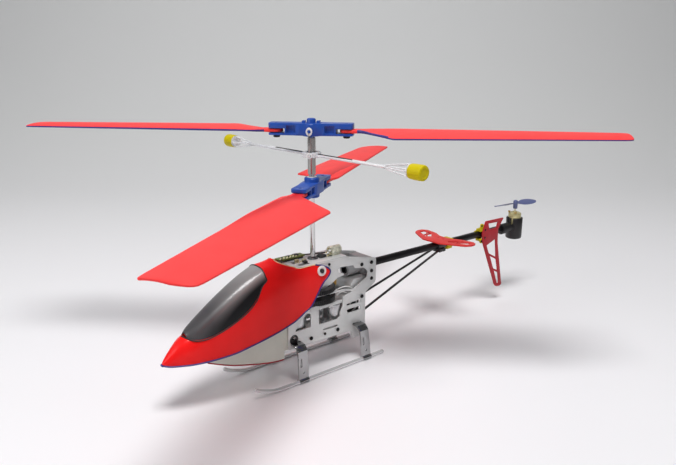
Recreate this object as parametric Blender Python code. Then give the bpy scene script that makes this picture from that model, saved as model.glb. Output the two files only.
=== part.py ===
"""Remote control helicopter: coaxial rotors, tail propeller, metal frame, canopy and skids.

Frame: +Z up, nose towards -Y, tail towards +Y, port side +X, ground plane at z = 0.
Drawing dimensions are in millimetres from the rotor mast; MAST_Y moves the mast so that
the origin is the centre of the bounding box at the ground.
"""
import math

import bmesh
import bpy
from mathutils import Matrix, Vector

MM = 0.001
MAST_Y = -45.86

# rotors
ROTOR_R = 216.5
UPPER_Z = 181.8
LOWER_Z = 140.2
UPPER_ANGLE = 41.6
LOWER_ANGLE = -56.3
FLYBAR_Z = 164.6
FLYBAR_ANGLE = 3.3
LINK_ANGLE = UPPER_ANGLE - 90.0
LINK_R = 8.9
BLADE_PIN_R = 25.5
GRIP_END_R = 30.5
SLOT_INNER_R = 18.4
INNER_SHAFT_R = 1.25
OUTER_SHAFT_R = 1.95
OUTER_SHAFT_BORE = 1.35
SLEEVE_R = 2.9

# gear train
GEAR_MODULE = 0.5
GEAR_TEETH = 66
PINION_TEETH = 11
MOTOR_Y = GEAR_MODULE * (GEAR_TEETH + PINION_TEETH) / 2
INNER_GEAR_Z = (53.6, 57.2)
OUTER_GEAR_Z = (61.4, 64.6)

# frame
PLATE_IN = 11.3
PLATE_OUT = 12.3
DECK_HALF = 11.2
SCREWS_YZ = [(48.5, 76.1), (38.4, 76.2), (48.7, 69.1), (48.8, 62.8), (38.8, 50.0),
             (39.4, 19.2), (14.2, 28.4), (-11.7, 28.4), (1.5, 28.4), (6.0, 83.0)]
SCREW_HOLE_R = 0.8
POST_YZ = (-4.7, 81.2)

# boom and tail
BOOM_R = 3.1
BOOM_Z = 70.4
BOOM_Y = (30.5, 240.0)
TAIL_Y = 250.0
PROP_R = 26.4
PROP_ANGLE = 79.8

# landing gear
SKID_X = 21.1
SKID_R = 1.5
LEG_Y = {"leg_front": -25.9, "leg_rear": 34.0}
LEG_WIDTH = 8.5

COLOURS = {
    "red": (0.72, 0.02, 0.03, 1.0),
    "coral": (0.85, 0.09, 0.08, 1.0),
    "blue": (0.03, 0.08, 0.55, 1.0),
    "silver": (0.62, 0.63, 0.64, 1.0),
    "steel": (0.48, 0.48, 0.48, 1.0),
    "black": (0.02, 0.02, 0.022, 1.0),
    "dark": (0.07, 0.07, 0.075, 1.0),
    "white": (0.85, 0.85, 0.82, 1.0),
    "cream": (0.72, 0.72, 0.60, 1.0),
    "yellow": (0.55, 0.50, 0.02, 1.0),
    "clear": (0.80, 0.84, 0.86, 0.35),
    "smoke": (0.10, 0.11, 0.12, 0.45),
    "green": (0.28, 0.36, 0.08, 1.0),
    "brass": (0.70, 0.58, 0.32, 1.0),
    "propeller": (0.10, 0.12, 0.28, 1.0),
    "fin_red": (0.50, 0.03, 0.04, 1.0),
}


def clear_scene():
    """Start from an empty scene."""
    for old in list(bpy.data.objects):
        bpy.data.objects.remove(old, do_unlink=True)


def material(name, colour, metallic=0.0, roughness=0.45):
    """One Principled material per node."""
    mat = bpy.data.materials.new(name)
    mat.use_nodes = True
    shader = mat.node_tree.nodes["Principled BSDF"]
    rgba = COLOURS[colour]
    shader.inputs["Base Color"].default_value = rgba
    shader.inputs["Metallic"].default_value = metallic
    shader.inputs["Roughness"].default_value = roughness
    shader.inputs["Alpha"].default_value = rgba[3]
    return mat


def make(name, points, faces):
    """Mesh object from millimetre points in mast coordinates."""
    mesh = bpy.data.meshes.new(name)
    mesh.from_pydata([Vector(p) for p in points], [], faces)
    bm = bmesh.new()
    bm.from_mesh(mesh)
    bmesh.ops.remove_doubles(bm, verts=bm.verts, dist=1e-4)
    bmesh.ops.dissolve_degenerate(bm, edges=bm.edges, dist=1e-4)
    bmesh.ops.recalc_face_normals(bm, faces=bm.faces)
    bm.to_mesh(mesh)
    bm.free()
    obj = bpy.data.objects.new(name, mesh)
    bpy.context.scene.collection.objects.link(obj)
    return obj


def prism(name, outline, lo, hi, plane="yz"):
    """Extrude a 2-D outline: plane yz along X, xz along Y, xy along Z."""
    place = {
        "yz": lambda a, b, h: (h, a, b),
        "xz": lambda a, b, h: (a, h, b),
        "xy": lambda a, b, h: (a, b, h),
    }[plane]
    n = len(outline)
    points = [place(a, b, lo) for a, b in outline] + [place(a, b, hi) for a, b in outline]
    faces = [list(range(n)), list(range(n, 2 * n))]
    faces += [[i, (i + 1) % n, n + (i + 1) % n, n + i] for i in range(n)]
    return make(name, points, faces)


def box(name, x, y, z):
    """Box from three (low, high) pairs."""
    return prism(name, [(x[0], y[0]), (x[1], y[0]), (x[1], y[1]), (x[0], y[1])], z[0], z[1], "xy")


def circle(radius, centre=(0.0, 0.0), sides=20):
    """Points of a circle."""
    return [(centre[0] + radius * math.cos(2 * math.pi * i / sides),
             centre[1] + radius * math.sin(2 * math.pi * i / sides)) for i in range(sides)]


def cylinder(name, radius, lo, hi, centre=(0.0, 0.0), plane="xy", sides=20):
    """Cylinder along the axis normal to the plane."""
    return prism(name, circle(radius, centre, sides), lo, hi, plane)


def revolve(name, profile, centre=(0.0, 0.0), sides=20):
    """Turn a closed (radius, z) profile about a vertical axis."""
    points, faces = [], []
    n = len(profile)
    for i in range(sides):
        ang = 2 * math.pi * i / sides
        for r, z in profile:
            points.append((centre[0] + r * math.cos(ang), centre[1] + r * math.sin(ang), z))
    for i in range(sides):
        j = (i + 1) % sides
        for k in range(n):
            m = (k + 1) % n
            if profile[k][0] > 0.0 or profile[m][0] > 0.0:
                faces.append([i * n + k, j * n + k, j * n + m, i * n + m])
    return make(name, points, faces)


def tube_path(name, path, radius, sides=12):
    """Round rod swept along a polyline."""
    points, faces = [], []
    path = [Vector(p) for p in path]
    for i, p in enumerate(path):
        ahead = path[min(i + 1, len(path) - 1)] - path[max(i - 1, 0)]
        ahead.normalize()
        side = ahead.cross(Vector((0.0, 0.0, 1.0))).normalized()
        up = side.cross(ahead)
        for k in range(sides):
            ang = 2 * math.pi * k / sides
            points.append(p + side * radius * math.cos(ang) + up * radius * math.sin(ang))
    for i in range(len(path) - 1):
        for k in range(sides):
            m = (k + 1) % sides
            faces.append([i * sides + k, i * sides + m, (i + 1) * sides + m, (i + 1) * sides + k])
    faces.append(list(range(sides)))
    faces.append(list(range((len(path) - 1) * sides, len(path) * sides)))
    return make(name, points, faces)


def combine(obj, others, operation):
    """Boolean the others into obj, exactly, and delete them."""
    for other in others:
        mod = obj.modifiers.new("cut", "BOOLEAN")
        mod.operation = operation
        mod.solver = "EXACT"
        mod.object = other
    graph = bpy.context.evaluated_depsgraph_get()
    graph.update()
    mesh = bpy.data.meshes.new_from_object(obj.evaluated_get(graph))
    obj.modifiers.clear()
    obj.data = mesh
    for other in others:
        bpy.data.objects.remove(other, do_unlink=True)
    return obj


def cut(obj, *others):
    """Take the others out of obj."""
    return combine(obj, others, "DIFFERENCE")


def join(obj, *others):
    """Fuse the others into obj."""
    return combine(obj, others, "UNION")


def turn(obj, degrees, centre=(0.0, 0.0)):
    """Rotate mesh data about a vertical line."""
    pivot = Matrix.Translation((centre[0], centre[1], 0.0))
    obj.data.transform(pivot @ Matrix.Rotation(math.radians(degrees), 4, "Z") @ pivot.inverted())
    return obj


def finish(obj, colour, metallic=0.0, roughness=0.45, origin=(0.0, 0.0, 0.0), smooth=35.0):
    """Scale to metres, set the origin on the joint axis, shade and give a material."""
    shift = Vector(origin)
    obj.data.transform(Matrix.Translation(-shift))
    obj.data.transform(Matrix.Scale(MM, 4))
    obj.location = Vector((shift.x, shift.y + MAST_Y, shift.z)) * MM
    obj.data.materials.clear()
    obj.data.materials.append(material(obj.name, colour, metallic, roughness))
    bm = bmesh.new()
    bm.from_mesh(obj.data)
    for face in bm.faces:
        face.smooth = True
    bm.to_mesh(obj.data)
    bm.free()
    obj.data.set_sharp_from_angle(angle=math.radians(smooth))
    return obj


def polar(radius, degrees, z=0.0):
    """Point at a radius and heading about the mast."""
    return (radius * math.cos(math.radians(degrees)), radius * math.sin(math.radians(degrees)), z)


def lerp_table(table, x):
    """Linear interpolation in a table of (x, value)."""
    if x <= table[0][0]:
        return table[0][1]
    for (x0, v0), (x1, v1) in zip(table, table[1:]):
        if x <= x1:
            return v0 + (v1 - v0) * (x - x0) / (x1 - x0)
    return table[-1][1]


# ---------------------------------------------------------------- frame

PLATE_OUTLINE = [(-32.5, 24.6), (28.0, 23.8), (29.2, 17.0), (42.6, 17.0), (42.6, 52.3), (53.6, 59.3),
                 (53.6, 78.9), (24.0, 85.3), (-24.0, 85.3), (-28.5, 80.0), (-28.5, 58.0), (-32.5, 50.0)]
UPPER_WINDOW = [(-14.5, 60.9), (20.4, 59.9), (25.0, 58.9), (30.6, 58.0), (44.5, 64.6), (44.8, 69.5),
                (41.0, 73.2), (31.5, 74.4), (30.6, 77.3), (16.5, 78.4), (14.8, 77.0), (14.8, 75.0),
                (16.5, 73.6), (20.5, 72.8), (20.5, 71.4), (14.3, 70.6), (7.5, 66.8), (3.0, 65.4),
                (-14.5, 65.2)]
GEAR_WINDOW = [(-14.5, 52.6), (-4.0, 52.6), (-4.0, 37.2), (13.7, 37.0), (16.8, 38.5), (16.8, 41.6),
               (19.3, 46.2), (19.8, 53.8), (28.6, 56.3), (26.0, 57.4), (20.0, 58.8), (-14.5, 59.6)]
TRIANGLE_WINDOW = [(-26.6, 37.5), (-11.6, 37.5), (-11.6, 47.4), (-13.4, 49.0), (-16.6, 48.6)]
SLOT_WINDOWS = [[(23.2, 45.4), (37.6, 45.2), (37.6, 47.9), (23.2, 47.0)],
                [(23.4, 39.1), (37.6, 39.1), (37.6, 42.4), (23.4, 42.4)],
                [(-0.1, 31.3), (14.1, 31.0), (14.1, 32.6), (-0.1, 32.9)]]


def side_plate(name, sign):
    """Lightened sheet metal side plate."""
    inner, outer = sorted((sign * PLATE_IN, sign * PLATE_OUT))
    far = (inner - 2.0, outer + 2.0)
    plate = prism(name, PLATE_OUTLINE, inner, outer)
    cutters = [prism("window", w, *far) for w in [UPPER_WINDOW, GEAR_WINDOW, TRIANGLE_WINDOW] + SLOT_WINDOWS]
    cutters += [cylinder("screw_hole", SCREW_HOLE_R, *far, centre=c, plane="yz", sides=8) for c in SCREWS_YZ]
    for y in LEG_Y.values():
        cutters.append(box("leg_slot", far, (y - LEG_WIDTH / 2 - 0.4, y + LEG_WIDTH / 2 + 0.4), (26.6, 29.4)))
    cut(plate, *cutters)
    return finish(plate, "silver", 0.6, 0.4)


def top_deck():
    """Bearing deck with side flanges, screwed between the side plates."""
    outline = [(-DECK_HALF, 80.6), (-DECK_HALF, 86.0), (DECK_HALF, 86.0), (DECK_HALF, 80.6),
               (DECK_HALF - 1.2, 80.6), (DECK_HALF - 1.2, 84.9), (1.2 - DECK_HALF, 84.9),
               (1.2 - DECK_HALF, 80.6)]
    deck = prism("top_deck", outline, -24.0, 24.0, "xz")
    cut(deck, cylinder("bearing_hole", 4.05, 80.0, 90.0))
    return finish(deck, "silver", 0.6, 0.4)


def mid_deck():
    """Motor mounting deck with the inner shaft's bearing seat."""
    deck = box("mid_deck", (-DECK_HALF, DECK_HALF), (-30.0, 41.5), (48.8, 51.2))
    holes = [cylinder("seat", 3.05, 47.0, 53.0)]
    holes += [cylinder("boss_hole", 3.3, 47.0, 53.0, centre=(0.0, s * MOTOR_Y)) for s in (-1, 1)]
    cut(deck, *holes)
    return finish(deck, "silver", 0.6, 0.35)


def bottom_plate():
    """Lower deck between the two leg straps."""
    plate = box("bottom_plate", (-DECK_HALF, DECK_HALF), (-20.8, 28.8), (27.0, 29.8))
    return finish(plate, "silver", 0.6, 0.4)


def boom_mount():
    """Block between the plates with a long collar that grips the boom."""
    block = box("boom_mount", (-DECK_HALF, DECK_HALF), (45.2, 53.2), (60.4, 78.4))
    collar = cylinder("collar", 5.3, 31.0, 46.0, centre=(0.0, BOOM_Z), plane="xz")
    join(block, collar)
    cut(block, cylinder("boom_hole", BOOM_R + 0.05, 20.0, 60.0, centre=(0.0, BOOM_Z), plane="xz"))
    return finish(block, "steel", 0.3, 0.5)


def rear_spacer():
    """Round spacer at the lower rear corner of the frame."""
    spacer = cylinder("rear_spacer", 2.1, -DECK_HALF, DECK_HALF, centre=SCREWS_YZ[5], plane="yz", sides=20)
    return finish(spacer, "silver", 0.6, 0.35)


def bearing(name, outer, inner, lo, hi):
    """Flanged ring around a shaft."""
    ring = revolve(name, [(inner, lo), (outer, lo), (outer, hi), (inner, hi)])
    return finish(ring, "dark", 0.6, 0.35)


# ---------------------------------------------------------------- drive

def main_motor(name, y, shaft_top):
    """Upright main motor: can, boss through the mid deck and shaft."""
    profile = [(0.0, 30.0), (8.6, 30.0), (10.0, 31.0), (10.0, 47.6), (9.2, 48.7), (3.1, 48.7), (3.1, 50.6),
               (0.75, 50.6), (0.75, shaft_top), (0.0, shaft_top)]
    motor = revolve(name, profile, centre=(0.0, y))
    return finish(motor, "silver", 0.9, 0.3)


def gear_outline(teeth, thin):
    """Involute tooth outline with backlash; thin is the share of tooth thickness taken off."""
    pitch_r = GEAR_MODULE * teeth / 2
    base_r = pitch_r * math.cos(math.radians(20.0))
    top_r = pitch_r + 0.8 * GEAR_MODULE
    root_r = pitch_r - 1.1 * GEAR_MODULE

    def involute(radius):
        ratio = min(1.0, base_r / radius)
        alpha = math.acos(ratio)
        return math.tan(alpha) - alpha

    half = math.pi / (2 * teeth) * (1.0 - thin)
    outline = []
    for i in range(teeth):
        mid = 2 * math.pi * i / teeth
        flank = [(r, half + involute(pitch_r) - involute(max(r, base_r))) for r in (root_r, top_r)]
        outline += [(r, mid - a) for r, a in flank]
        outline += [(r, mid + a) for r, a in reversed(flank)]
    return [(r * math.cos(a), r * math.sin(a)) for r, a in outline]


def main_gear(name, z, bore, hub_z, hub_r):
    """Large drive gear with lightening holes and a hub."""
    gear = prism(name, gear_outline(GEAR_TEETH, 0.14), z[0], z[1], "xy")
    join(gear, cylinder("hub", hub_r, hub_z[0], hub_z[1], sides=20))
    holes = [cylinder("hole", 3.6, z[0] - 1, z[1] + 1, centre=polar(9.6, 90 * i + 45)[:2], sides=10)
             for i in range(4)]
    holes.append(cylinder("bore", bore, hub_z[0] - 1, hub_z[1] + 1))
    cut(gear, *holes)
    return finish(gear, "black", 0.0, 0.45, origin=(0.0, 0.0, z[0]), smooth=30.0)


def pinion(name, y, z):
    """Small motor pinion meshed with its gear."""
    outline = gear_outline(PINION_TEETH, 0.22)
    half_step = 180.0 / PINION_TEETH
    toward_gear = 90.0 if y < 0 else -90.0
    gear_phase = (toward_gear + 180.0) % (360.0 / GEAR_TEETH)
    gear = prism(name, outline, z[0], z[1], "xy")
    turn(gear, toward_gear + half_step + gear_phase * GEAR_TEETH / PINION_TEETH)
    gear.data.transform(Matrix.Translation((0.0, y, 0.0)))
    cut(gear, cylinder("bore", 0.78, z[0] - 1, z[1] + 1, centre=(0.0, y), sides=20))
    return finish(gear, "brass", 0.9, 0.35, origin=(0.0, y, z[0]), smooth=30.0)


def shafts():
    """Hollow outer shaft, inner shaft with two cross holes, and the thick sleeve."""
    outer = revolve("outer_shaft", [(OUTER_SHAFT_BORE, 59.6), (OUTER_SHAFT_R, 59.6), (OUTER_SHAFT_R, 147.6),
                                    (OUTER_SHAFT_BORE, 147.6)])
    finish(outer, "steel", 0.9, 0.3)
    inner = cylinder("inner_shaft", INNER_SHAFT_R, 46.5, 184.4)
    bore, step = INNER_SHAFT_R + 0.03, SLEEVE_R - 0.8
    sleeve = revolve("shaft_sleeve", [(bore, 148.6), (step, 148.6), (step, 150.2), (SLEEVE_R, 150.2),
                                      (SLEEVE_R, 176.8), (bore, 176.8)])
    for shaft in (inner, sleeve):
        cut(shaft, cross_pin("flybar_hole", FLYBAR_Z, FLYBAR_ANGLE + 90.0, 0.73, 8.0))
    cut(inner, cross_pin("head_hole", UPPER_Z, UPPER_ANGLE, 0.83, 8.0))
    finish(inner, "steel", 0.9, 0.3)
    finish(sleeve, "steel", 0.9, 0.3)


def cross_pin(name, z, degrees, radius, half_length):
    """Horizontal pin through the mast."""
    pin = cylinder(name, radius, -half_length, half_length, centre=(0.0, z), plane="yz", sides=12)
    return turn(pin, degrees)


# ---------------------------------------------------------------- rotors

def grip_outline(width, corner=1.6):
    """Planform of a two-ended blade holder along X, with chamfered corners."""
    end = GRIP_END_R
    right = [(end - corner, -width), (end, corner - width), (end, width - corner), (end - corner, width)]
    left = [(-x, -y) for x, y in right]
    waist = width + 0.9
    return right + [(13.0, width), (7.0, waist), (-7.0, waist), (-13.0, width)] + left + \
        [(-13.0, -width), (-7.0, -waist), (7.0, -waist), (13.0, -width)]


def grip_body(name, z, slot, angle, extras, bore, bore_z):
    """Blade holder: open forks at both ends, screw holes, extras fused on, then bored."""
    body = prism(name, grip_outline(5.6), z[0], z[1], "xy")
    join(body, *extras)
    cutters = []
    for s in (-1, 1):
        span = sorted((s * SLOT_INNER_R, s * (GRIP_END_R + 2.0)))
        cutters.append(box("slot", span, (-9.0, 9.0), slot))
        pin = (s * BLADE_PIN_R, 0.0)
        cutters.append(cylinder("screw_hole", 1.1, z[0] - 2, z[1] + 2, centre=pin, sides=12))
    cutters.append(cylinder("bore", bore, *bore_z))
    cut(body, *cutters)
    return turn(body, angle)


def lower_hub():
    """Lower rotor hub pressed on the outer shaft."""
    boss = cylinder("boss", 5.6, 133.1, 148.0)
    hub = grip_body("lower_hub", (136.3, 144.6), (LOWER_Z - 1.8, LOWER_Z + 1.8), LOWER_ANGLE, [boss],
                    OUTER_SHAFT_R + 0.03, (130.0, 150.0))
    return finish(hub, "blue", 0.0, 0.3, origin=(0.0, 0.0, LOWER_Z))


def upper_head():
    """Upper rotor head that feathers about the blade line; two link pegs at its sides."""
    boss = cylinder("boss", 7.0, 178.0, 187.2)
    post = cylinder("post", 3.2, 186.0, 190.5, sides=20)
    peg = cylinder("peg", 0.8, -10.6, 10.6, centre=(0.0, UPPER_Z), plane="xz", sides=12)
    head = grip_body("upper_head", (178.6, 187.2), (UPPER_Z - 1.7, UPPER_Z + 1.7), 0.0, [boss, post, peg],
                     2.3, (170.0, 185.4))
    pin_hole = cylinder("pin_hole", 0.86, -7.6, 7.6, centre=(0.0, UPPER_Z), plane="yz", sides=12)
    cut(head, pin_hole)
    turn(head, UPPER_ANGLE)
    return finish(head, "blue", 0.0, 0.3, origin=(0.0, 0.0, UPPER_Z))


BLADE_PLAN = [  # span, leading edge, trailing edge, pitch in degrees, thickness
    (20.9, 1.6, -1.6, 0.0, 2.2), (22.6, 4.2, -4.2, 0.0, 2.6), (26.0, 4.8, -4.8, 0.0, 2.6),
    (31.5, 4.8, -4.8, 0.0, 2.6), (36.0, 5.8, -5.0, 0.6, 2.4), (42.0, 8.6, -12.0, 2.4, 1.9),
    (58.0, 8.6, -30.2, 4.2, 2.0), (62.0, 8.6, -33.2, 4.4, 2.1), (110.0, 8.6, -29.2, 4.0, 2.0),
    (160.0, 8.6, -24.9, 3.5, 1.8), (208.5, 8.6, -20.6, 3.0, 1.6), (214.0, 8.5, -19.1, 3.0, 1.4),
    (ROTOR_R, 7.8, -8.3, 3.0, 1.2)]
CHORD_STEPS = (0.0, 0.12, 0.5, 1.0)


def blade(name, hand, degrees, z, twist):
    """Tapered, twisted and cambered blade; hand +1 leads counter-clockwise, twist scales its pitch."""
    points, faces = [], []
    for r, lead, trail, pitch, thick in BLADE_PLAN:
        chord = lead - trail
        curve = 0.0 if r < 36.0 else 0.045 * chord
        upper, lower = [], []
        for c in CHORD_STEPS:
            s = lead - c * chord
            mean = s * math.tan(math.radians(pitch * twist)) + 4 * curve * c * (1 - c)
            edge = 0.35 if c in (0.0, 1.0) else 1.0
            if r < 36.0:
                edge = 0.8 if c in (0.0, 1.0) else 1.0
            half = thick / 2 * edge * (1.0 if r < 36.0 else 1.0 - 0.45 * c)
            upper.append((r, hand * s, z + mean + half))
            lower.append((r, hand * s, z + mean - half))
        points += upper + list(reversed(lower))
    ring = 2 * len(CHORD_STEPS)
    rows = len(BLADE_PLAN)
    for i in range(rows - 1):
        for k in range(ring):
            m = (k + 1) % ring
            faces.append([i * ring + k, i * ring + m, (i + 1) * ring + m, (i + 1) * ring + k])
    faces.append(list(range(ring)))
    faces.append(list(range((rows - 1) * ring, rows * ring)))
    body = make(name, points, faces)
    cut(body, cylinder("screw_hole", 1.1, z - 4, z + 4, centre=(BLADE_PIN_R, 0.0), sides=12))
    turn(body, degrees)
    return finish(body, "coral", 0.0, 0.3, origin=polar(BLADE_PIN_R, degrees, z), smooth=40.0)


def flybar():
    """Clear stabiliser bar: ring around the sleeve, two arms, crossed webs and link pegs."""
    low, high = FLYBAR_Z - 2, FLYBAR_Z + 2
    ring = revolve("flybar", [(4.2, low), (6.8, low), (6.8, high), (4.2, high)])
    parts = []
    for s in (-1, 1):
        span = sorted((s * 6.0, s * 93.0))
        parts.append(box("arm", span, (-1.0, 1.0), (FLYBAR_Z - 0.8, FLYBAR_Z + 0.8)))
        flat = [(s * 50.0, -1.2), (s * 92.5, -4.6), (s * 92.5, 4.6), (s * 50.0, 1.2)]
        parts.append(prism("web_flat", flat, FLYBAR_Z - 0.6, FLYBAR_Z + 0.6, "xy"))
        tall = [(s * 50.0, FLYBAR_Z - 1.2), (s * 92.5, FLYBAR_Z - 4.6), (s * 92.5, FLYBAR_Z + 4.6),
                (s * 50.0, FLYBAR_Z + 1.2)]
        parts.append(prism("web_tall", tall, -0.6, 0.6, "xz"))
        span = sorted((s * 92.0, s * 93.2))
        parts.append(cylinder("rim", 4.9, *span, centre=(0.0, FLYBAR_Z), plane="yz", sides=20))
    join(ring, *parts)
    turn(ring, FLYBAR_ANGLE)
    pegs = [cylinder("peg", 0.8, *sorted((s * 6.2, s * 10.6)), centre=(0.0, FLYBAR_Z), plane="yz", sides=12)
            for s in (-1, 1)]
    for peg in pegs:
        turn(peg, LINK_ANGLE)
    join(ring, *pegs)
    cut(ring, cross_pin("pin_hole", FLYBAR_Z, FLYBAR_ANGLE + 90.0, 0.76, 8.0))
    return finish(ring, "clear", 0.0, 0.08, origin=(0.0, 0.0, FLYBAR_Z), smooth=30.0)


def flybar_weight(name, sign):
    """Round weight at the end of the stabiliser bar."""
    profile = [(0.0, 0.0), (4.2, 0.0), (5.3, 0.9), (5.5, 6.5), (5.3, 12.2), (4.4, 13.6), (0.0, 13.6)]
    weight = revolve(name, profile, sides=24)
    weight.data.transform(Matrix.Rotation(math.radians(90.0 * sign), 4, "Y"))
    weight.data.transform(Matrix.Translation((sign * 93.3, 0.0, FLYBAR_Z)))
    turn(weight, FLYBAR_ANGLE)
    return finish(weight, "yellow", 0.0, 0.45, origin=(0.0, 0.0, FLYBAR_Z))


def link(name, degrees):
    """Short link with an eyelet at each end, between the stabiliser bar and the head."""
    lo, hi = LINK_R - 0.7, LINK_R + 0.7
    oval = [(2.3 * math.cos(a), UPPER_Z + 2.9 * math.sin(a))
            for a in (math.radians(15 * i) for i in range(24))]
    body = prism(name, oval, lo, hi, "yz")
    join(body, box("rod", (lo, hi), (-0.7, 0.7), (FLYBAR_Z + 1.0, UPPER_Z - 2.0)),
         cylinder("eye", 2.1, lo, hi, centre=(0.0, FLYBAR_Z), plane="yz", sides=20))
    cut(body, cylinder("top_hole", 1.25, lo - 1, hi + 1, centre=(0.0, UPPER_Z), plane="yz", sides=20),
        cylinder("low_hole", 1.25, lo - 1, hi + 1, centre=(0.0, FLYBAR_Z), plane="yz", sides=20))
    turn(body, degrees)
    return finish(body, "white", 0.0, 0.35, origin=polar(LINK_R, degrees, FLYBAR_Z))


# ---------------------------------------------------------------- canopy

NOSE_Y = -126.0
SCREEN_FRONT_Y = -111.0
SCREEN_REAR_Y = -50.0
STATIONS = [NOSE_Y, -125.2, -123.6, -120.6, SCREEN_FRONT_Y, -106.0, -98.0, -88.0, -78.0, -68.0, -60.0, -54.5,
            SCREEN_REAR_Y]
BOTTOM_Z = [(-126.0, 37.4), (-124.5, 36.8), (-121.0, 36.3), (-116.0, 36.0), (-105.0, 35.6), (-92.0, 35.9),
            (-78.0, 37.2), (-62.6, 40.2), (-45.0, 43.6), (-30.0, 47.8), (-20.0, 53.4), (-14.0, 57.1),
            (-5.0, 62.0), (8.0, 66.0)]
TOP_Z = [(-126.0, 37.4), (-125.2, 38.8), (-123.6, 40.8), (-120.6, 44.2), (-116.0, 49.0), (-111.0, 54.1),
         (-104.0, 59.4), (-97.0, 64.4), (-90.0, 69.3), (-82.0, 74.7), (-74.0, 79.6), (-66.0, 84.0), (-59.5, 87.0),
         (-54.5, 88.9), (-50.0, 90.4), (-38.0, 94.2), (0.0, 94.4), (8.0, 94.4)]
HALF_WIDTH = [(-126.0, 0.0), (-125.2, 1.5), (-123.6, 2.8), (-120.6, 4.8), (-116.0, 7.0), (-111.0, 8.8),
              (-104.0, 10.8), (-97.0, 12.4), (-90.0, 13.7), (-82.0, 14.9), (-74.0, 15.9), (-66.0, 16.6),
              (-56.0, 17.1), (8.0, 17.3)]
CREASE_Z = [(-126.0, 37.4), (-111.0, 54.1), (-108.0, 52.4), (-104.0, 51.5), (-97.0, 51.4), (-85.0, 55.2),
            (-74.0, 60.4), (-66.0, 65.0), (-59.5, 71.2), (-54.5, 79.0), (-50.0, 82.6), (-21.0, 86.4),
            (-9.0, 88.2), (8.0, 89.0)]
REAR_Y = [-14.2, -4.6, 1.2, 3.4, 2.4, -0.4, -4.2, -9.4, -22.5, -26.4, -30.2, -33.6, -36.2, -37.6, -38.1]
LOW_ROWS = 8
HIGH_ROWS = 6
REAR_COLUMNS = 5
POWER = [(-70.0, 2.6), (-20.0, 3.5)]
NOSE_SHIFT = [(-126.0, 1.7), (-105.0, 0.3), (-60.0, 0.0)]


def section_angle(y, z):
    """Angle parameter at which the cross-section at y reaches height z."""
    low, top = lerp_table(BOTTOM_Z, y), lerp_table(TOP_Z, y)
    if top - low < 1e-6:
        return math.pi / 2
    share = max(0.0, min(1.0, (z - low) / (top - low)))
    return math.asin(share ** (lerp_table(POWER, y) / 2))


def section_point(y, angle, inset=0.0):
    """Point of the cross-section at y for an angle from 0 (bottom edge) to 90 degrees (top)."""
    y += inset * lerp_table(NOSE_SHIFT, y)
    low, top = lerp_table(BOTTOM_Z, y), lerp_table(TOP_Z, y) - 1.15 * inset
    root = 2 / lerp_table(POWER, y)
    x = (lerp_table(HALF_WIDTH, y) - inset) * max(0.0, math.cos(angle)) ** root
    return Vector((x, y, low + (top - low) * math.sin(angle) ** root))


def half_row_point(y, row, inset):
    """Canopy surface point at station y on grid row 0 (bottom) to the centre line."""
    crease = section_angle(y, lerp_table(CREASE_Z, y))
    if row <= LOW_ROWS:
        return section_point(y, crease * row / LOW_ROWS, inset)
    share = (row - LOW_ROWS) / HIGH_ROWS
    curved = section_point(y, crease + (math.pi / 2 - crease) * share, inset)
    flat = section_point(y, crease, inset).lerp(section_point(y, math.pi / 2, inset), share)
    return curved.lerp(flat, max(0.0, min(1.0, (y - SCREEN_REAR_Y) / 9.0)) * 0.75)


def canopy_grid(inset):
    """Surface grid: columns from nose to rear edge, rows from edge to edge over the top."""
    half_rows = LOW_ROWS + HIGH_ROWS
    columns = len(STATIONS) + REAR_COLUMNS
    grid = []
    for c in range(columns):
        side = []
        for row in range(half_rows + 1):
            if c < len(STATIONS):
                y = STATIONS[c]
            else:
                share = (c - len(STATIONS) + 1) / REAR_COLUMNS
                y = SCREEN_REAR_Y + (REAR_Y[row] - SCREEN_REAR_Y) * share
            side.append(half_row_point(y, row, inset))
        mirrored = [Vector((-p.x, p.y, p.z)) for p in reversed(side[:-1])]
        grid.append(side + mirrored)
    return grid


def shell(name, outer, inner, keep):
    """Closed shell from two grids over the cells that keep(column, row) accepts."""
    columns, rows = len(outer), len(outer[0])
    points = [p for line in outer for p in line] + [p for line in inner for p in line]
    lift = columns * rows
    cells = {(c, r) for c in range(columns - 1) for r in range(rows - 1) if keep(c, r)}
    faces = []
    for c, r in sorted(cells):
        a, b = c * rows + r, (c + 1) * rows + r
        faces.append([a, a + 1, b + 1, b])
        faces.append([lift + b, lift + b + 1, lift + a + 1, lift + a])
        if (c, r - 1) not in cells:
            faces.append([a, b, lift + b, lift + a])
        if (c, r + 1) not in cells:
            faces.append([a + 1, lift + a + 1, lift + b + 1, b + 1])
        if (c - 1, r) not in cells:
            faces.append([a, lift + a, lift + a + 1, a + 1])
        if (c + 1, r) not in cells:
            faces.append([b, b + 1, lift + b + 1, lift + b])
    used = sorted({i for face in faces for i in face})
    index = {old: new for new, old in enumerate(used)}
    return make(name, [points[i] for i in used], [[index[i] for i in face] for face in faces])


def in_screen(column, row):
    """True for the grid cells of the windscreen."""
    first = STATIONS.index(SCREEN_FRONT_Y)
    last = STATIONS.index(SCREEN_REAR_Y)
    rows = 2 * (LOW_ROWS + HIGH_ROWS)
    return first <= column < last and LOW_ROWS <= row < rows - LOW_ROWS


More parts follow.
